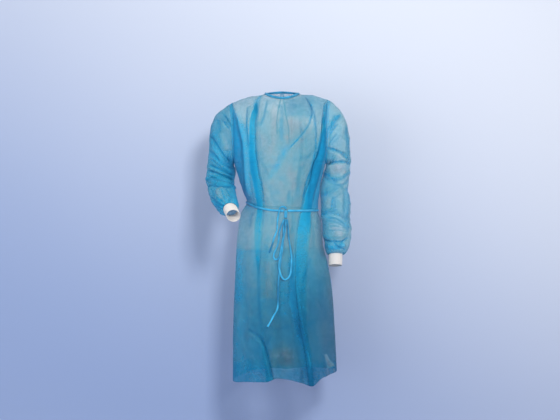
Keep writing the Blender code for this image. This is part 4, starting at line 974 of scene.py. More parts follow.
def front_cloth(level, cloth):
    """The front, folded and creased. cloth counts 0 to 7, with one pleat from 2 to 3 and one from 4 to 5."""
    pleats = [pleat_at(pleat, level) for pleat, _ in PLEATS]
    edge = np.ones_like(level)
    stops = [-edge, (SEAM_STRIP - 1) * edge]
    for middle, reach, _, _ in pleats:
        stops += [middle - PLEAT_FADE * reach, middle + PLEAT_FADE * reach]
    s = stretched(stops + [(1 - SEAM_STRIP) * edge, edge], cloth)
    shift, lift = np.zeros_like(s), np.zeros_like(s)
    softened = 1 - PLEAT_OPENS * past(level, BELT, PLEAT_OPENS_OVER)
    for (_, top), (middle, reach, over, depth) in zip(PLEATS, pleats):
        t = (s - middle[:, None]) / reach[:, None]
        shift -= over[:, None] * np.sin(math.pi * np.clip(t, -1, 1))
        lift += (depth * softened)[:, None] * pleat_rise(top * t)
    level = level[:, None]
    placed = np.clip(s + shift, -1, 1)
    point = body(-1, level, placed)
    x, z = point[..., 0], point[..., 2]
    lift = lift + fold_height(FRONT_FOLDS, level, x)
    lift = lift * ease((1 - SEAM_STRIP - np.abs(placed)) / FOLD_FADE)
    height, layers, line, depth = wrinkled(x, z, FRONT_CREASES, crumple(*FRONT_SMALL), FRONT_SWELLS)
    lift = lift + height * pressed_flat(level) * ease((1 - np.abs(placed)) / SEAM_HOLD)
    layers = layers + zone_layers_and_painted_shade(x, z, FRONT_ZONES)
    for pleat, _ in PLEATS:
        layers = layers + pleat_layers(pleat, level, x)
    layers = layers + seam_layers(placed)
    # Painted shade: the skirt from the hip down, the upper chest that tilts up to the light, the yoke, and
    # the hanging sleeve's shadow on the skirt.
    shade, lower = skirt_painted_shade(x, z)
    shade = shade + CHEST_PAINTED_SHADE * past(z, CHEST_Z, CHEST_DEEPENS_OVER) + YOKE_PAINTED_SHADE * zone_layers_and_painted_shade(x, z, YOKE)
    shade = shade + zone_layers_and_painted_shade(x, z, ARM_SHADOW)
    layers = layers + lower + FRONT_HEM_LAYERS * before(z, FRONT_HEM_Z, 0.03)
    clear = before(z, CLEAR_FROM_Z, CLEAR_OVER) * before(np.abs(x), CLEAR_HALF_WIDTH, CLEAR_SOFTNESS)
    layers = layers - clear
    lit = zone_layers_and_painted_shade(x, z, TURNED_CORNER)
    layers, shade = layers * (1 - lit) - TURNED_CORNER_LESS * lit, shade * (1 - lit)
    return with_finish(point + outward(-1, level, placed) * lift[..., None], layers, line, depth, shade)


def back_cloth(side, level, cloth):
    """One back panel, folded and creased. cloth is 0 at its side seam, 2 where the overlap starts, 3 at its
    edge."""
    overlap = NECK_OVERLAP + (BACK_OVERLAP - NECK_OVERLAP) * ease(level / OVERLAP_FULL_LEVEL)
    lap = 2 * overlap / (half_girth(1, level, -1) + half_girth(1, level, 1))
    edge = np.ones_like(level)
    s = stretched([side * edge, side * (1 - SEAM_STRIP) * edge, side * lap, -side * lap], cloth)
    level = level[:, None]
    point = body(1, level, s)
    normal = outward(1, level, s)
    x, z = point[..., 0], point[..., 2]
    lift = fold_height(BACK_FOLDS, level, x) * ease((1 - SEAM_STRIP - np.abs(s)) / FOLD_FADE)
    height, layers, line, depth = wrinkled(x, z, BACK_CREASES, crumple(*BACK_SMALL), BACK_SWELLS)
    lift = lift + height * pressed_flat(level) * ease((1 - np.abs(s)) / SEAM_HOLD)
    # The skirt's painted shade, and the closer layers that deepen it.
    shade, lower = skirt_painted_shade(x, z)
    layers = layers + seam_layers(s) + lower + BACK_HEM_LAYERS * before(z, BACK_HEM_Z, 0.02)
    # Each back counts for less where the two overlap, and its cut edge shows as a line.
    layers = layers - LAP_LESS * (1 + lower) * past(cloth, 1.98, 0.03)
    layers = layers + LAP_EDGE * past(cloth, 2.9, 0.02)
    point = point + normal * lift[..., None]
    if side > 0:
        # The outer back lies on the inner one, and at the neckline it stands behind it, no higher.
        over = NECK_LIFT + (BACK_LIFT - NECK_LIFT) * ease(level / LIFT_FULL_LEVEL)
        over = over * before(s, LIFT_STARTS, LIFT_GROWS_OVER)
        level_out = 1 - ease(level / NECK_STAND_LEVELS)[..., None]
        aside = unit(normal * (1 - level_out) + np.array([0, 1, 0]) * level_out)
        point = point + aside * (over / np.maximum((aside * normal).sum(axis=-1), 0.5))[..., None]
    return with_finish(point, layers, line, depth, shade)


def sleeve_tube(side, ring, around):
    """A sleeve's plain tube and its centres. around is 0 on the outer side and a quarter turn in front."""
    rows = SLEEVES[side]

    def centre(at):
        return np.stack([smooth(rows, axis, at, "ring") for axis in "xyz"], axis=-1)

    def tube(at):
        step = 0.05
        lean = np.radians(smooth(rows, "lean", at, "ring"))
        across = np.stack([side * np.cos(lean), np.zeros_like(lean), np.sin(lean)], axis=-1)
        last = rows["ring"][-1]
        along = unit(centre(np.clip(at + step, 0, last)) - centre(np.clip(at - step, 0, last)))
        through = -side * unit(np.cross(across, along))
        across = across * smooth(rows, "across", at, "ring")[..., None]
        through = through * smooth(rows, "through", at, "ring")[..., None]
        return (
            centre(at)[:, None]
            + across[:, None] * np.cos(around)[None, :, None]
            + through[:, None] * np.sin(around)[None, :, None]
        )

    face = np.where(np.sin(around) > 0, -1, 1)
    turned = SHOULDER + (UNDERARM - SHOULDER) * np.abs(around) / math.pi
    x, y, z = body_edge(face, turned, side)
    armhole = np.stack([x + side * SEAM_GAP, y, z], axis=-1)
    fading = (1 - ease(ring / 1.5))[:, None, None]
    return tube(ring) + (armhole - tube(np.zeros(1))) * fading, centre(ring)


def even_rings(side, count):
    """Rings spaced evenly along the sleeve."""
    rows = SLEEVES[side]
    fine = np.linspace(0, rows["ring"][-1], 900)
    outer = sleeve_tube(side, fine, np.linspace(0, 2 * math.pi, 9)[:-1])[0]
    step = np.linalg.norm(np.diff(outer, axis=0), axis=-1).mean(axis=1)
    place = np.concatenate([[0], np.cumsum(step)])
    return np.interp(np.linspace(0, place[-1], count), place, fine)


def sleeve_normals(point, middle):
    """Normals of a sleeve's rows, away from their middles."""
    wrapped = np.concatenate([point[:, -2:-1], point, point[:, 1:2]], axis=1)
    normal = unit(np.cross(np.gradient(point, axis=0), np.gradient(wrapped, axis=1)[:, 1:-1]))
    return normal * np.sign((normal * (point - middle[:, None])).sum(axis=-1, keepdims=True).mean())


def sleeve_creases(side, creases, around, x, z):
    """What a sleeve's creases give all round it: behind, every second one comes again, a little moved."""
    front = ease((0.42 + np.sin(around)) / 0.6)[None]
    moved = (BEHIND_MOVED_X * side, BEHIND_MOVED_Z)
    behind = [(*row[:4], *(np.array(row[4:]) + moved)) for row in creases[1::2]]
    seen, hidden = creased(x, z, creases), creased(x, z, behind)
    height, layers = (a * front + b * (1 - front) for a, b in zip(seen[:2], hidden[:2]))
    line, depth = (np.where(front > 0.5, a, b) for a, b in zip(seen[2:], hidden[2:]))
    return 1.2 * height, layers, line, 0.8 * depth * np.abs(2 * front - 1)


def sleeve_cloth(side, creases, seed):
    """A sleeve, creased, gathered into its cuff and full on its inner side."""
    around = side * np.linspace(math.pi, -math.pi, SLEEVE_COLUMNS + 1)
    ring = even_rings(side, SLEEVE_ROWS)
    point, middle = sleeve_tube(side, ring, around)
    last = SLEEVES[side]["ring"][-1]
    x, z = point[..., 0], point[..., 2]
    height, layers, line, depth = sleeve_creases(side, creases, around, x, z)
    reach = np.linalg.norm(np.diff(point, axis=1), axis=-1).sum(axis=1)[:, None]
    u = np.broadcast_to(around[None] / (2 * math.pi) * reach.mean(), x.shape)
    down = passed(middle)
    v = np.broadcast_to(-down[:, None], x.shape)
    half = reach.mean() / 2 - SLEEVE_MARGIN
    field = (-half, -down[-1]), (half, -SLEEVE_TOP)
    small = crumple(seed, SLEEVE_SMALL_COUNT, *field, SLEEVE_SMALL_LEAN, SLEEVE_SMALL_SPREAD)
    more, more_layers, _, _ = creased(u, v, small, drawn=False)
    height = height + SLEEVE_SMALL_HEIGHT * more
    for after, *swell in SLEEVE_SWELLS:
        height = height + unevenness(u, v, seed + after, *swell) * np.cos(around / 2)[None] ** 2
    seam = SEAM_LAYERS * before(down, ARMHOLE_SEAM, ARMHOLE_SEAM_SOFTNESS)[:, None]
    layers = layers + 0.9 * more_layers + seam
    held = ease(ring / HELD_AT_ARMHOLE) * ease((last - ring) / HELD_AT_CUFF)
    gather = np.sin(GATHERS * around + 1.7 * np.sin(3 * around))[None] * 0.5 + 0.5
    pulled = ease((ring - last + GATHER_RINGS) / GATHERED_OVER) * ease((last - ring) / 0.25)
    height = height * held[:, None] + GATHER_HEIGHT * gather * pulled[:, None]
    layers = layers + GATHER_LAYERS * (1 - gather) * pulled[:, None]
    layers = layers + SLEEVE_LAYERS[side]
    # Painted shade on the bent sleeve above its elbow, over an even darkening of both sleeves.
    shade = SLEEVE_SHADE + UPPER_ARM_PAINTED_SHADE * past(z, UPPER_ARM_Z, UPPER_ARM_OVER) * (side < 0)
    inner = ease((-np.cos(around) - 0.25) / 0.6)[None]
    if side < 0:
        # The inside of the bent elbow is full of folds, with more layers and painted shade.
        full = np.exp(-(((z - ELBOW_Z) / ELBOW_REACH) ** 2))
        layers, shade = layers + ELBOW_LAYERS * full * inner, shade + ELBOW_PAINTED_SHADE * full * inner
        height = height + ELBOW_BAG * full * before(z, ELBOW_BAG_TOP_Z, 0.03) * inner
    else:
        # The hanging sleeve bags between the folds that tie it in.
        full = before(z, BAG_TOP_Z, 0.02) * past(z, BAG_END_Z, 0.03)
        full = full * (1 - BAG_FLATTENED * np.exp(-(((z - BAG_FLAT_Z) / BAG_FLAT_REACH) ** 2)))
        out = BAG + UPPER_BAG * past(z, UPPER_BAG_Z, 0.03)
        for tied_z, tied_reach, less in TIED_IN:
            out = out - less * np.exp(-(((z - tied_z) / tied_reach) ** 2))
        height = height + out * full * inner
        layers = layers + HANGING_INNER_LAYERS * inner
    return with_finish(point + sleeve_normals(point, middle) * height[..., None], layers, line, depth, shade)


def cuff_grid(side):
    """A ribbed cuff that carries on from the sleeve's end along the wrist."""
    rows = SLEEVES[side]
    end = np.array([rows[axis][-1] for axis in "xyz"])
    along = unit(np.array(CUFF_DIRECTION[side]))
    around = side * np.linspace(math.pi, -math.pi, CUFF_RIBS * RIB_COLUMNS + 1)
    wrist = unit(sleeve_tube(side, np.array([rows["ring"][-1]]), around)[0][0] - end)
    place = np.linspace(0, 1, CUFF_ROWS)[:, None]
    rib = np.cos(CUFF_RIBS * around)
    waver = 1 + CUFF_WAVER * np.sin(2 * around + 1.0) * place + CUFF_BULGE * np.sin(math.pi * place) ** 2
    radius = (CUFF_RADIUS - CUFF_INSET) * waver - CUFF_TAPER * place
    radius = radius + RIB_DEPTH * (rib - 1) * before(place, 1, 0.05) ** 0.5
    points = end + wrist * radius[..., None] + along * (SEAM_GAP + CUFF_LENGTH * place)[..., None]
    return with_finish(points, np.broadcast_to(rib, radius.shape))


def spline(points, count):
    """count points spaced evenly along a smooth curve through the given ones."""
    points = np.array(points, float)
    rows = dict(zip("xyz", points.T), place=passed(points))
    fine = np.linspace(0, rows["place"][-1], 12 * len(points))
    curve = np.stack([smooth(rows, axis, fine, "place") for axis in "xyz"[: points.shape[1]]], axis=-1)
    length = passed(curve)
    even = np.linspace(0, length[-1], count)
    return np.stack([np.interp(even, length, curve[:, i]) for i in range(curve.shape[1])], axis=-1)


def surface_tree(grid):
    """A tree of one grid's quads, to lay other pieces on it."""
    rows, columns = grid.shape[:2]
    index = np.arange(rows * columns).reshape(rows, columns)
    quads = np.stack([index[:-1, :-1], index[1:, :-1], index[1:, 1:], index[:-1, 1:]], axis=-1)
    corners = [Vector(point) for point in grid[..., :3].reshape(-1, 3)]
    return BVHTree.FromPolygons(corners, quads.reshape(-1, 4).tolist())


def outermost(trees, face, x, z, reach):
    """How far out the cloth comes round (x, z), within reach of it."""
    found = []
    for tree in trees:
        for dx in (-reach, 0, reach):
            for dz in (-reach, 0, reach):
                hit = tree.ray_cast(Vector((x + dx, face, z + dz)), Vector((0, -face, 0)))[0]
                if hit:
                    found.append(face * hit.y)
    return face * max(found) if found else None


def laid_on(trees, face, route, count, clearance):
    """A strand's path: the route's x and z, and y just outside the cloth, with no sharp turn in it."""
    rough = spline(route, ROUTE_POINTS)
    steps = int(np.linalg.norm(np.diff(rough, axis=0), axis=1).sum() / STRAND_STEP)
    flat = spline(route, steps)
    need = [outermost(trees, face, x, z, TIE_WIDTH) for x, z in flat]
    known = [i for i, y in enumerate(need) if y is not None]
    need = face * np.interp(range(steps), known, [need[i] for i in known])
    padded = np.pad(need, STRAND_EASING, mode="edge")
    widest = np.max([padded[i : i + steps] for i in range(2 * STRAND_EASING + 1)], axis=0)
    for _ in range(STRAND_EASING):
        padded = np.pad(widest, 1, mode="edge")
        widest = (padded[:-2] + 2 * padded[1:-1] + padded[2:]) / 4
    path = np.stack([flat[:, 0], face * (widest + clearance), flat[:, 1]], axis=-1)
    place = np.linspace(0, steps - 1, count)
    return np.stack([np.interp(place, range(steps), path[:, i]) for i in range(3)], axis=-1)


def convex_outline(points):
    """The plan outline of a taut band round the points, anticlockwise."""
    ordered = sorted(map(tuple, points))

    def chain(sequence):
        line = []
        for point in sequence:
            while len(line) > 1:
                (ax, ay), (bx, by) = line[-2:]
                if (bx - ax) * (point[1] - ay) - (by - ay) * (point[0] - ax) > 0:
                    break
                line.pop()
            line.append(point)
        return line[:-1]

    return np.array(chain(ordered) + chain(ordered[::-1]))


def band_round(cloud, middle, clearance, start, gap, count):
    """A band's path round the cloud of points at the heights of the middle row, open by the gap at start."""
    outline = convex_outline(cloud[:, :2])
    closed = np.vstack([outline, outline[:1]])
    length = passed(closed)
    dense = np.linspace(0, length[-1], OUTLINE_POINTS, endpoint=False)
    ring = np.stack([np.interp(dense, length, closed[:, i]) for i in (0, 1)], axis=-1)
    first = np.argmin(np.linalg.norm(ring - np.array(start), axis=1))
    ring = np.roll(ring, -first, axis=0)
    spacing = length[-1] / len(ring)
    skip = int(math.ceil(gap / 2 / spacing))
    kept = ring[skip : len(ring) - skip + 1]
    path = kept[np.linspace(0, len(kept) - 1, count).astype(int)]
    tangent = unit(np.gradient(path, axis=0))
    path = path + np.stack([tangent[:, 1], -tangent[:, 0]], axis=-1) * clearance
    angle = np.arctan2(middle[:, 1], middle[:, 0])
    z = np.interp(np.arctan2(path[:, 1], path[:, 0]), angle, middle[:, 2], period=2 * math.pi)
    return np.column_stack([path, z])


def deselect():
    bpy.ops.object.select_all(action="DESELECT")


def settle(piece, name, finish):
    """Names a finished piece and gives it its finish."""
    piece.name = piece.data.name = name
    piece.data.materials.clear()
    piece.data.materials.append(finish)
    bpy.ops.object.shade_smooth()
    return piece


def cloth_piece(name, grid, wall, finish, tube=False):
    """A grid moved onto rows of points, left to right and down as seen from outside, with its thin wall."""
    rows, columns = grid.shape[:2]
    deselect()
    bpy.ops.mesh.primitive_grid_add(x_subdivisions=columns - 1, y_subdivisions=rows - 1, size=2)
    piece = bpy.context.object
    mesh = piece.data
    flat = np.empty(len(mesh.vertices) * 3, np.float32)
    mesh.vertices.foreach_get("co", flat)
    flat = flat.reshape(-1, 3)
    row = np.rint((1 - flat[:, 1]) / 2 * (rows - 1)).astype(int)
    column = np.rint((1 + flat[:, 0]) / 2 * (columns - 1)).astype(int)
    placed = grid[row, column].astype(np.float32)
    mesh.vertices.foreach_set("co", placed[:, :3].ravel())
    # The last value, shade, is painted shade.
    for channel, value in enumerate(("layers", "line", "depth", "shade"), 3):
        mesh.attributes.new(value, "FLOAT", "POINT").data.foreach_set("value", placed[:, channel].copy())
    corner = np.empty(len(mesh.loops), np.int32)
    mesh.loops.foreach_get("vertex_index", corner)
    mesh.uv_layers[0].data.foreach_set("uv", placed[corner][:, 7:9].ravel())
    mesh.update()
    if tube:
        bpy.ops.object.mode_set(mode="EDIT")
        bpy.ops.mesh.select_all(action="SELECT")
        bpy.ops.mesh.remove_doubles(threshold=1e-6)
        bpy.ops.object.mode_set(mode="OBJECT")
    thicken = piece.modifiers.new("wall", "SOLIDIFY")
    thicken.thickness = wall
    thicken.offset = -1
    bpy.ops.object.modifier_apply(modifier="wall")
    return settle(piece, name, finish)


def tape_grid(path, width, facing, crown, curl, seed):
    """A flat tape along a path: slightly crowned, unevenly folded, and turned a little here and there."""
    draw = np.random.default_rng(seed)
    place = np.linspace(0, 1, len(path))
    along = unit(np.gradient(path, axis=0))
    facing = np.broadcast_to(np.asarray(facing, float), path.shape)
    across = unit(np.cross(facing, along))
    out = unit(np.cross(along, across))
    turn, thin = np.zeros(len(path)), np.zeros(len(path))
    for _ in range(4):
        turn += np.sin(2 * math.pi * place * draw.uniform(1, 7) + draw.uniform(0, 6.3)) * curl / 4
        thin += np.sin(2 * math.pi * place * draw.uniform(3, 16) + draw.uniform(0, 6.3)) / 4
    thin, turned = thin[:, None], turn[:, None]
    cut = np.linspace(-1, 1, TAPE_COLUMNS)[None]
    offset = cut * (width / 2 * (1 - TAPE_NARROWS * (thin + 1) / 2))
    rise = crown * (1 - cut**2) * (1 + 0.5 * thin)
    leaned = np.abs(np.sin(turned)) * width / 2 * TAPE_LEANS_OUT
    across, out = (
        across * np.cos(turned) + out * np.sin(turned),
        out * np.cos(turned) - across * np.sin(turned),
    )
    points = path[:, None] + across[:, None] * offset[..., None] + out[:, None] * rise[..., None]
    points = points + unit(facing)[:, None] * leaned[..., None]
    # More layers along the middle of the tape make it brighter there: a painted highlight along its crown.
    return with_finish(points, 0.5 * (1 - np.abs(cut)) + 0.25 * thin + 0.3)


def wrap_grid(centre, half, axis, width, slant, crown):
    """A turn of tape wound round a knot. half is the two half widths of the knot."""
    axis = unit(np.array(axis, float))
    side = unit(np.cross(axis, (0, 1, 0)))
    front = np.cross(axis, side)
    angle = np.linspace(0, 2 * math.pi, WRAP_STEPS)
    ring = (
        np.array(centre)
        + np.outer(np.cos(angle) * half[0], side)
        + np.outer(np.sin(angle) * half[1], front)
        + np.outer(slant * np.cos(angle + 0.6), axis)
    )
    out = unit(np.outer(np.cos(angle) / half[0], side) + np.outer(np.sin(angle) / half[1], front))
    cut = np.linspace(1, -1, WRAP_COLUMNS)[:, None, None]
    points = ring + cut * width / 2 * axis + out * (crown * (1 - cut**2))
    return with_finish(points, 0.5)


def knot_pieces(name, wraps, finish, *nodes):
    """Turns of tape, joined in one piece."""
    made = [cloth_piece(f"{name}_turn", grid, TAPE_WALL, finish, tube=True) for grid in wraps]
    deselect()
    for piece in made:
        piece.select_set(True)
    bpy.context.view_layer.objects.active = made[0]
    bpy.ops.object.join()
    piece = bpy.context.object
    piece.name = piece.data.name = name
    dress(piece, "tape_blue", *nodes)


def dress(piece, slot, *nodes):
    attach(piece, "root")
    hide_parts(*nodes)


def binding_grid():
    """The neck binding, folded over the neck edge, from one side of the nape's knot round to the other."""
    row = np.linspace(-1, 1, 8 * ROW_STEPS + 1)
    nape = 4 * ROW_STEPS
    neck_front, neck_back = body(-1, 0.0, row), body(1, 0.0, -row)
    corners = (neck_back[-1:] + neck_front[:1]) / 2, (neck_front[-1:] + neck_back[:1]) / 2
    ring = np.vstack([neck_back[nape:-1], corners[0], neck_front[1:-1], corners[1], neck_back[1 : nape + 1]])
    down_front, down_back = body(-1, 0.3, row) - neck_front, body(1, 0.3, -row) - neck_back
    down = np.vstack([down_back[nape:-1], down_front, down_back[1 : nape + 1]])
    up = unit(BINDING_LEAN * unit(-down) + np.array([0, 0, 1 - BINDING_LEAN]))
    half = (NECK_KNOT_WIDTH / 2 + SEAM_GAP) * np.array([1, 0, 0])
    ring[0], ring[-1] = ring[0] - half, ring[-1] + half
    for _ in range(6):
        up[1:-1] = unit(up[:-2] + 2 * up[1:-1] + up[2:])
    out = unit(np.cross(np.gradient(ring, axis=0), up))
    out = out * np.sign((out * ring * (1, 1, 0)).sum(axis=-1).mean())
    folded = np.linspace(-1, 1, BINDING_COLUMNS)[:, None]
    across_wall = np.sin(np.clip(folded, -0.35, 0.35) / 0.35 * math.pi / 2)
    across_wall = across_wall * (BINDING_THICKNESS / 2 - 0.0003)
    rise = BINDING_HEIGHT * (1 - 0.98 * np.clip((np.abs(folded) - 0.18) / 0.82, 0, 1)) + 2 * SEAM_GAP
    place = np.arange(len(ring))
    puckers = BINDING_PUCKER * np.sin(place * 0.9 + 1.3 * np.sin(place * 0.21))
    rise = rise + puckers * (np.abs(folded) < 0.3)
    across_wall = across_wall * (1 + 0.12 * np.sin(place * 1.7))
    return with_finish(ring + up * rise[..., None] - out * across_wall[..., None], 0.1)


def belt_grid(panels):
    """The belt, taut round the body's panels and their levels, from one side of its knot to the other."""
    low, high = LEVELS_AT_BELT
    near = [grid[(level > low) & (level < high)] for grid, level in panels]
    cloud = np.vstack([grid[..., :3].reshape(-1, 3) for grid in near])
    row = np.linspace(-1, 1, 2 * ROW_STEPS + 1)[1:-1]
    middle = np.vstack([body(face, float(BELT), row * -face) for face in (-1, 1)])
    start = (BELT_KNOT_X, cloud[:, 1].min())
    gap = BELT_KNOT_WIDTH + 2 * SEAM_GAP
    path = band_round(cloud, middle, BELT_CLEARANCE + TAPE_WALL, start, gap, BELT_STEPS)
    facing = unit(np.cross(np.gradient(path, axis=0), (0, 0, 1)))
    return tape_grid(path, BELT_WIDTH, facing, 0.0012, 0.12, 71)[:, ::-1]


def box_middle(node):
    """The middle and the size of a solid's box."""
    low, high = (np.array(corner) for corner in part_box(node))
    return (low + high) / 2, high - low


# Finishes.


class Finish:
    """A material of one shader, whose values come from chains of nodes."""

    def __init__(self, name):
        self.material = bpy.data.materials.new(name)
        self.material.use_nodes = True
        self.tree = self.material.node_tree
        self.shader = self.tree.nodes["Principled BSDF"]
        where = self.add("ShaderNodeTexCoord")
        self.on_piece, self.on_cloth = where.outputs["Object"], where.outputs["UV"]

    def set(self, node, **inputs):
        """Gives each named input a value or another node's output. In a name, _ stands for a space."""
        for name, value in inputs.items():
            self.give(node.inputs[name.replace("_", " ")], value)

    def give(self, socket, value):
        if isinstance(value, bpy.types.NodeSocket):
            self.tree.links.new(value, socket)
        else:
            socket.default_value = value

    def add(self, kind, **settings):
        node = self.tree.nodes.new(kind)
        for name, value in settings.items():
            setattr(node, name, value)
        return node

    def number(self, operation, *values, clamp=False):
        """A Math node of outputs or numbers."""
        node = self.add("ShaderNodeMath", operation=operation, use_clamp=clamp)
        for socket, value in zip(node.inputs, values):
            self.give(socket, value)
        return node.outputs[0]

    def plus(self, total, *others):
        for value in others:
            total = self.number("ADD", total, value)
        return total

    def times(self, first, second):
        return self.number("MULTIPLY", first, second)

    def swing(self, pattern, size):
        """A pattern's swing about its middle, of the given size."""
        return self.times(self.number("SUBTRACT", pattern, 0.5), size)

    def noise(self, where, scale=1.0, detail=2.0, rough=0.5, distortion=0.0):
        node = self.add("ShaderNodeTexNoise")
        self.set(node, Vector=where, Scale=scale, Detail=detail, Roughness=rough, Distortion=distortion)
        return node.outputs["Fac"]

    def drawn_out(self, where, scale, turn=0.0):
        """A place, scaled by unlike amounts each way and turned in its plane."""
        node = self.add("ShaderNodeMapping")
        self.set(node, Vector=where, Scale=scale, Rotation=(0, 0, turn))
        return node.outputs["Vector"]

    def stored(self, name):
        return self.add("ShaderNodeAttribute", attribute_name=name).outputs["Fac"]

    def ramp(self, place, stops, interpolation="LINEAR"):
        node = self.add("ShaderNodeValToRGB")
        node.color_ramp.interpolation = interpolation
        elements = node.color_ramp.elements
        while len(elements) < len(stops):
            elements.new(1.0)
        for element, (at, colour) in zip(elements, stops):
            element.position = at
            element.color = (*colour, 1)
        self.set(node, Fac=place)
        return node.outputs["Color"]

    def bump(self, height, strength, distance):
        node = self.add("ShaderNodeBump")
        self.set(node, Strength=strength, Distance=distance, Height=height)
        self.set(self.shader, Normal=node.outputs["Normal"])


# Deep blue where the cloth is doubled, pale where it is single.
CLOTH_STOPS = (
    (0.0, (0.46, 0.62, 0.64)),
    (0.12, (0.25, 0.56, 0.63)),
    (0.24, (0.130, 0.50, 0.63)),
    (0.42, (0.050, 0.45, 0.68)),
    (0.62, (0.018, 0.43, 0.72)),
    (0.82, (0.007, 0.37, 0.67)),
    (1.0, (0.005, 0.31, 0.60)),
)
TAPE_STOPS = ((0.25, (0.006, 0.16, 0.34)), (1.0, (0.045, 0.44, 0.74)))
KNIT_STOPS = ((0.3, (0.63, 0.60, 0.59)), (1.0, (0.80, 0.77, 0.74)))
# The backdrop's painted light, from its lower left to its upper right.
WALL_PAINTED_LIGHT_STOPS = ((0.0, (0.295, 0.38, 0.60)), (1.0, (0.69, 0.735, 0.84)))
# The tint that painted shade darkens the cloth towards.
PAINTED_SHADE_TINT = (0.36, 0.42, 0.48, 1)
# How opaque one layer is, and the fewest layers that a thin place can fall short by.
LAYER_OPACITY, FEWEST_LAYERS = 0.25, -0.6
# Patterns on the cloth: repeats across and down it, and their turn.
STREAKS = (((900, 170, 1), 0.5), ((170, 900, 1), -0.35))
RIBS, CRINKLES, PATCHES = (22, 330, 1), (13, 8, 1), (14, 14, 7)
CLOUDS, WEB, EMBOSSED_DOTS = 55, 260, 420
TAPE_STREAKS, TAPE_FOLDS, TAPE_WEB = (900, 60, 1), (60, 42, 1), 300
KNIT_COURSES, KNIT_FUZZ = 175, 900


def nonwoven_finish():
    """Spunbond cloth: cloudy fibre web, see-through where it is single, deep blue where it is doubled,
    darkened where painted shade is stored.
    """
    made = Finish("nonwoven_cloth")
    plus, times, number = made.plus, made.times, made.number
    cloud = made.noise(made.on_piece, CLOUDS, 3.0, 0.55)
    web = made.noise(made.on_piece, WEB, 3.0, 0.65, 0.4)
    fibres = plus(*(made.noise(made.drawn_out(made.on_cloth, *streak)) for streak in STREAKS))
    ribs = made.swing(made.noise(made.drawn_out(made.on_cloth, RIBS)), 0.5)
    thick = number("MULTIPLY_ADD", web, 0.55, -0.275)
    density = plus(times(cloud, 1.1), thick, times(fibres, 0.25), ribs, 0.20)

    # The line along a narrow crease, flat in its middle and fading at its half width. It adds layers and
    # painted shade.
    across = made.stored("line")
    line = number("EXPONENT", times(number("POWER", times(across, across), 1.1), -1.0))
    line = times(line, made.stored("depth"))
    crinkle = made.noise(made.drawn_out(made.on_cloth, CRINKLES), 1.0, 4.0, 0.6, 1.1)
    crinkle = number("ABSOLUTE", number("SUBTRACT", crinkle, 0.5))
    crinkle = number("SUBTRACT", 0.35, times(crinkle, 4.0))
    # Painted shade, stored on the pieces, mottled by the crinkles and the web, and deepened along crease
    # lines.
    painted_shade_mottle = plus(times(crinkle, 0.45), 0.82, plus(times(web, 0.4), ribs))
    shade = number("ADD", times(made.stored("shade"), painted_shade_mottle), times(line, 0.30), clamp=True)

    doubled = number("MAXIMUM", plus(made.stored("layers"), line), FEWEST_LAYERS)
    clear = number("POWER", 1 - LAYER_OPACITY, times(plus(doubled, 1.0), density))
    made.set(made.shader, Alpha=number("SUBTRACT", 1.0, clear, clamp=True))

    patch = made.noise(made.drawn_out(made.on_piece, PATCHES), 1.0, 3.0, 0.55)
    tint = plus(made.swing(cloud, 0.22), times(crinkle, 0.10))
    tint = plus(tint, plus(made.swing(web, 0.1), times(ribs, 0.3)), made.swing(patch, 0.42))
    tint = plus(times(doubled, 0.25), tint, 0.16)
    # The painted shade darkens the colour from the ramp towards its tint.
    deeper = made.add("ShaderNodeMix", data_type="RGBA", blend_type="MULTIPLY")
    made.set(deeper, Factor=shade, A=made.ramp(tint, CLOTH_STOPS), B=PAINTED_SHADE_TINT)
    rough = number("MULTIPLY_ADD", web, 0.16, 0.67)
    made.set(made.shader, Base_Color=deeper.outputs["Result"], Roughness=rough)

    dots = made.add("ShaderNodeTexVoronoi", feature="F1")
    made.set(dots, Vector=made.on_cloth, Scale=EMBOSSED_DOTS, Randomness=0.15)
    pressed = number("SMOOTH_MIN", dots.outputs["Distance"], 0.3)
    made.bump(plus(times(pressed, 0.8), web, times(fibres, 0.8)), 0.35, 0.0005)
    made.set(made.shader, Specular_IOR_Level=0.2, Sheen_Weight=0.05, Sheen_Roughness=0.5)
    return made.material


def tape_finish():
    """Tape folded from the same cloth: closed, with a painted highlight along its crown, and deeper in its
    folds.
    """
    made = Finish("folded_tape")
    plus, times, number = made.plus, made.times, made.number
    streak = made.noise(made.drawn_out(made.on_cloth, TAPE_STREAKS), 1.0, 3.0, 0.6)
    web = made.noise(made.on_piece, TAPE_WEB, 3.0, 0.6)
    folds = made.swing(made.noise(made.drawn_out(made.on_cloth, TAPE_FOLDS), 1.0, 1.0), 1.2)
    tone = plus(times(made.stored("layers"), 0.75), streak, times(web, 0.4), folds)
    made.set(made.shader, Base_Color=made.ramp(times(tone, 0.7), TAPE_STOPS))
    made.bump(plus(streak, web), 0.5, 0.0006)
    made.set(made.shader, Roughness=number("MULTIPLY_ADD", web, 0.2, 0.55))
    made.set(made.shader, Specular_IOR_Level=0.35, Sheen_Weight=0.12)
    return made.material


def knit_finish():
    """White rib knit: fine courses across the ribs, with a soft nap."""
    made = Finish("rib_knit")
    courses = made.add("ShaderNodeTexWave", wave_type="BANDS", bands_direction="Y")
    made.set(courses, Vector=made.on_cloth, Scale=KNIT_COURSES, Distortion=1.2, Detail=2.0)
    fuzz = made.noise(made.on_piece, KNIT_FUZZ, 3.0, 0.7)
    shade = made.plus(made.times(courses.outputs["Fac"], 0.5), fuzz)
    rough = made.number("MULTIPLY_ADD", fuzz, 0.15, 0.8)
    made.set(made.shader, Base_Color=made.ramp(shade, KNIT_STOPS), Roughness=rough, Sheen_Weight=0.3)
    made.bump(shade, 0.5, 0.0005)
    return made.material


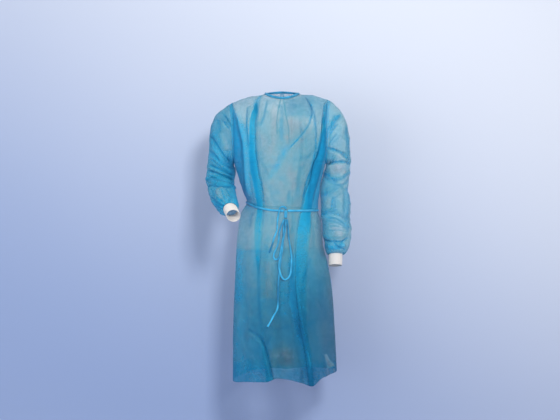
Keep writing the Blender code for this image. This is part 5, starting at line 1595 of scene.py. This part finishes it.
def backdrop_finish():
    """A pale wall with painted light: whiter towards the upper right and a deeper lavender towards the lower
    left.
    """
    made = Finish("pale_backdrop")
    axes = made.add("ShaderNodeSeparateXYZ")
    made.set(axes, Vector=made.on_piece)
    rising = made.number("MULTIPLY_ADD", axes.outputs["Z"], 0.36, 0.62)
    run = made.number("MULTIPLY_ADD", axes.outputs["X"], 0.22, rising)
    mottle = made.times(made.noise(made.on_piece, 1.5), 0.03)
    colour = made.ramp(made.plus(run, mottle), WALL_PAINTED_LIGHT_STOPS, "EASE")
    made.set(made.shader, Base_Color=colour, Roughness=0.9, Specular_IOR_Level=0.1)
    behind = made.add("ShaderNodeNewGeometry").outputs["Backfacing"]
    made.set(made.shader, Alpha=made.number("SUBTRACT", 1.0, behind))
    return made.material


# The studio.


def make_camera():
    deselect()
    bpy.ops.object.camera_add(location=(-0.008, -4.0, -0.456), rotation=(math.pi / 2, 0, 0))
    camera = bpy.context.object
    camera.data.lens = 65.9
    camera.data.sensor_width = 36
    bpy.context.scene.camera = camera


def make_lights():
    for name, place, aim, size, power, colour in (
        ("key", (0.85, -3.40, 1.0), (0.05, 0.0, -0.30), 0.7, 86, (1.0, 0.985, 0.955)),
        ("fill", (-2.4, -2.6, -0.2), (0, 0, -0.6), 2.4, 40, (0.98, 0.99, 1.0)),
        ("top", (0.4, -0.4, 2.2), (0, 0, -0.3), 1.4, 5, (1.0, 0.99, 0.97)),
    ):
        deselect()
        bpy.ops.object.light_add(type="AREA", location=place)
        light = bpy.context.object
        light.name = f"light_{name}"
        light.data.size = size
        light.data.energy = power
        light.data.color = colour
        turn = Vector(aim) - Vector(place)
        light.rotation_euler = turn.to_track_quat("-Z", "Y").to_euler()
    world = bpy.data.worlds.new("studio")
    world.use_nodes = True
    background = world.node_tree.nodes["Background"]
    background.inputs["Color"].default_value = (1.0, 0.985, 0.955, 1)
    background.inputs["Strength"].default_value = 0.48
    bpy.context.scene.world = world


def make_stage():
    """A wall that sweeps into the floor, seen from its front only."""
    deselect()
    bpy.ops.mesh.primitive_grid_add(x_subdivisions=2, y_subdivisions=60, size=2)
    stage = bpy.context.object
    half_width, length = 5, 8.0
    wall, radius, floor, front = 0.28, 0.45, -1.80, -3.4
    bend = wall - radius - front
    for vertex in stage.data.vertices:
        run = (vertex.co.y + 1) / 2 * length
        angle = min(max((run - bend) / radius, 0), math.pi / 2)
        y = front + min(run, bend) + radius * math.sin(angle)
        z = floor + radius * (1 - math.cos(angle)) + max(run - bend - radius * math.pi / 2, 0)
        vertex.co = (vertex.co.x * half_width, y, z)
    settle(stage, "backdrop", backdrop_finish())


make_camera()
make_lights()
make_stage()
cloth_finish, tape_blue, knit_white = nonwoven_finish(), tape_finish(), knit_finish()

front_level, back_level = even_levels("front", FRONT_ROWS), even_levels("back", BACK_ROWS)
front = front_cloth(front_level, fine_front_columns())
back_left = back_cloth(1, back_level, fine_back_columns())
back_right = back_cloth(-1, back_level, fine_back_columns())[:, ::-1]
for name, grid in (("front", front), ("back_left", back_left), ("back_right", back_right)):
    piece = cloth_piece(f"{name}_cloth", grid, CLOTH_WALL, cloth_finish)
    dress(piece, "nonwoven_blue", name)

for name, side, creases, seed in (("left", 1, HANGING_CREASES, 31), ("right", -1, BENT_CREASES, 47)):
    grid = sleeve_cloth(side, creases, seed)
    piece = cloth_piece(f"sleeve_{name}_cloth", grid, CLOTH_WALL, cloth_finish, tube=True)
    dress(piece, "nonwoven_blue", f"sleeve_{name}")
    cuff = cuff_grid(side)
    piece = cloth_piece(f"cuff_{name}_knit", cuff, KNIT_WALL, knit_white, tube=True)
    dress(piece, "knit_white", f"cuff_{name}")

# The neck binding, with its knot and ties at the nape.
binding = cloth_piece("neck_binding_tape", binding_grid(), BINDING_WALL, tape_blue)
dress(binding, "tape_blue", "neck_binding")
middle, size = box_middle("neck_knot")
upright = (size[0] / 2 - 0.0012, size[1] / 2 - 0.0012)
lying = (size[2] / 2 - 0.0010, size[1] / 2 - 0.0008)
neck_wraps = [
    wrap_grid(middle, upright, (0, 0, 1), size[2] * 0.86, 0.0, 0.0011),
    wrap_grid(middle, lying, (1, 0, 0.25), size[0] * 0.5, 0.0004, 0.0008),
]
knot_pieces("neck_knot_tape", neck_wraps, tape_blue, "neck_knot")
back_trees = [surface_tree(grid) for grid in (back_left, back_right)]
for name, side in (("left", 1), ("right", -1)):
    path = laid_on(back_trees, 1, NECK_TIES[side], TIE_STEPS, STRAND_CLEARANCE)
    grid = tape_grid(path, TIE_WIDTH, (0, 1, 0), 0.0004, 0.35, 61 + side)
    tie = cloth_piece(f"neck_tie_{name}_tape", grid, TAPE_WALL, tape_blue)
    dress(tie, "tape_blue", f"neck_tie_{name}")

# The belt, its knot, and the bow's strands.
grid = belt_grid(((front, front_level), (back_left, back_level), (back_right, back_level)))
belt = cloth_piece("waist_belt_tape", grid, TAPE_WALL, tape_blue)
dress(belt, "tape_blue", "waist_belt")
under = [surface_tree(front), surface_tree(grid)]
middle, _ = box_middle("belt_knot")
belt_wraps = [wrap_grid(middle + place, *turn) for place, *turn in BELT_KNOT_TURNS]
knot_pieces("belt_knot_tape", belt_wraps, tape_blue, "belt_knot")
for name, strand_route, steps, far_end, tones in STRANDS:
    path = laid_on(under, -1, strand_route, steps, STRAND_CLEARANCE)
    grid = tape_grid(path, TAPE_WIDTH, (0, -1, 0), 0.0006, 1.1, 80 + steps)
    grid[..., 3] += np.interp(np.linspace(0, 1, steps), *zip(*tones))[:, None]
    strand = cloth_piece(f"{name}_tape", grid, TAPE_WALL, tape_blue)
    dress(strand, "tape_blue", name)
    under.append(surface_tree(grid[..., :3] - (0, TAPE_WALL / 2, 0)))

bpy.context.scene.cycles.transparent_max_bounces = 40
bpy.context.scene.view_settings.view_transform = "Standard"
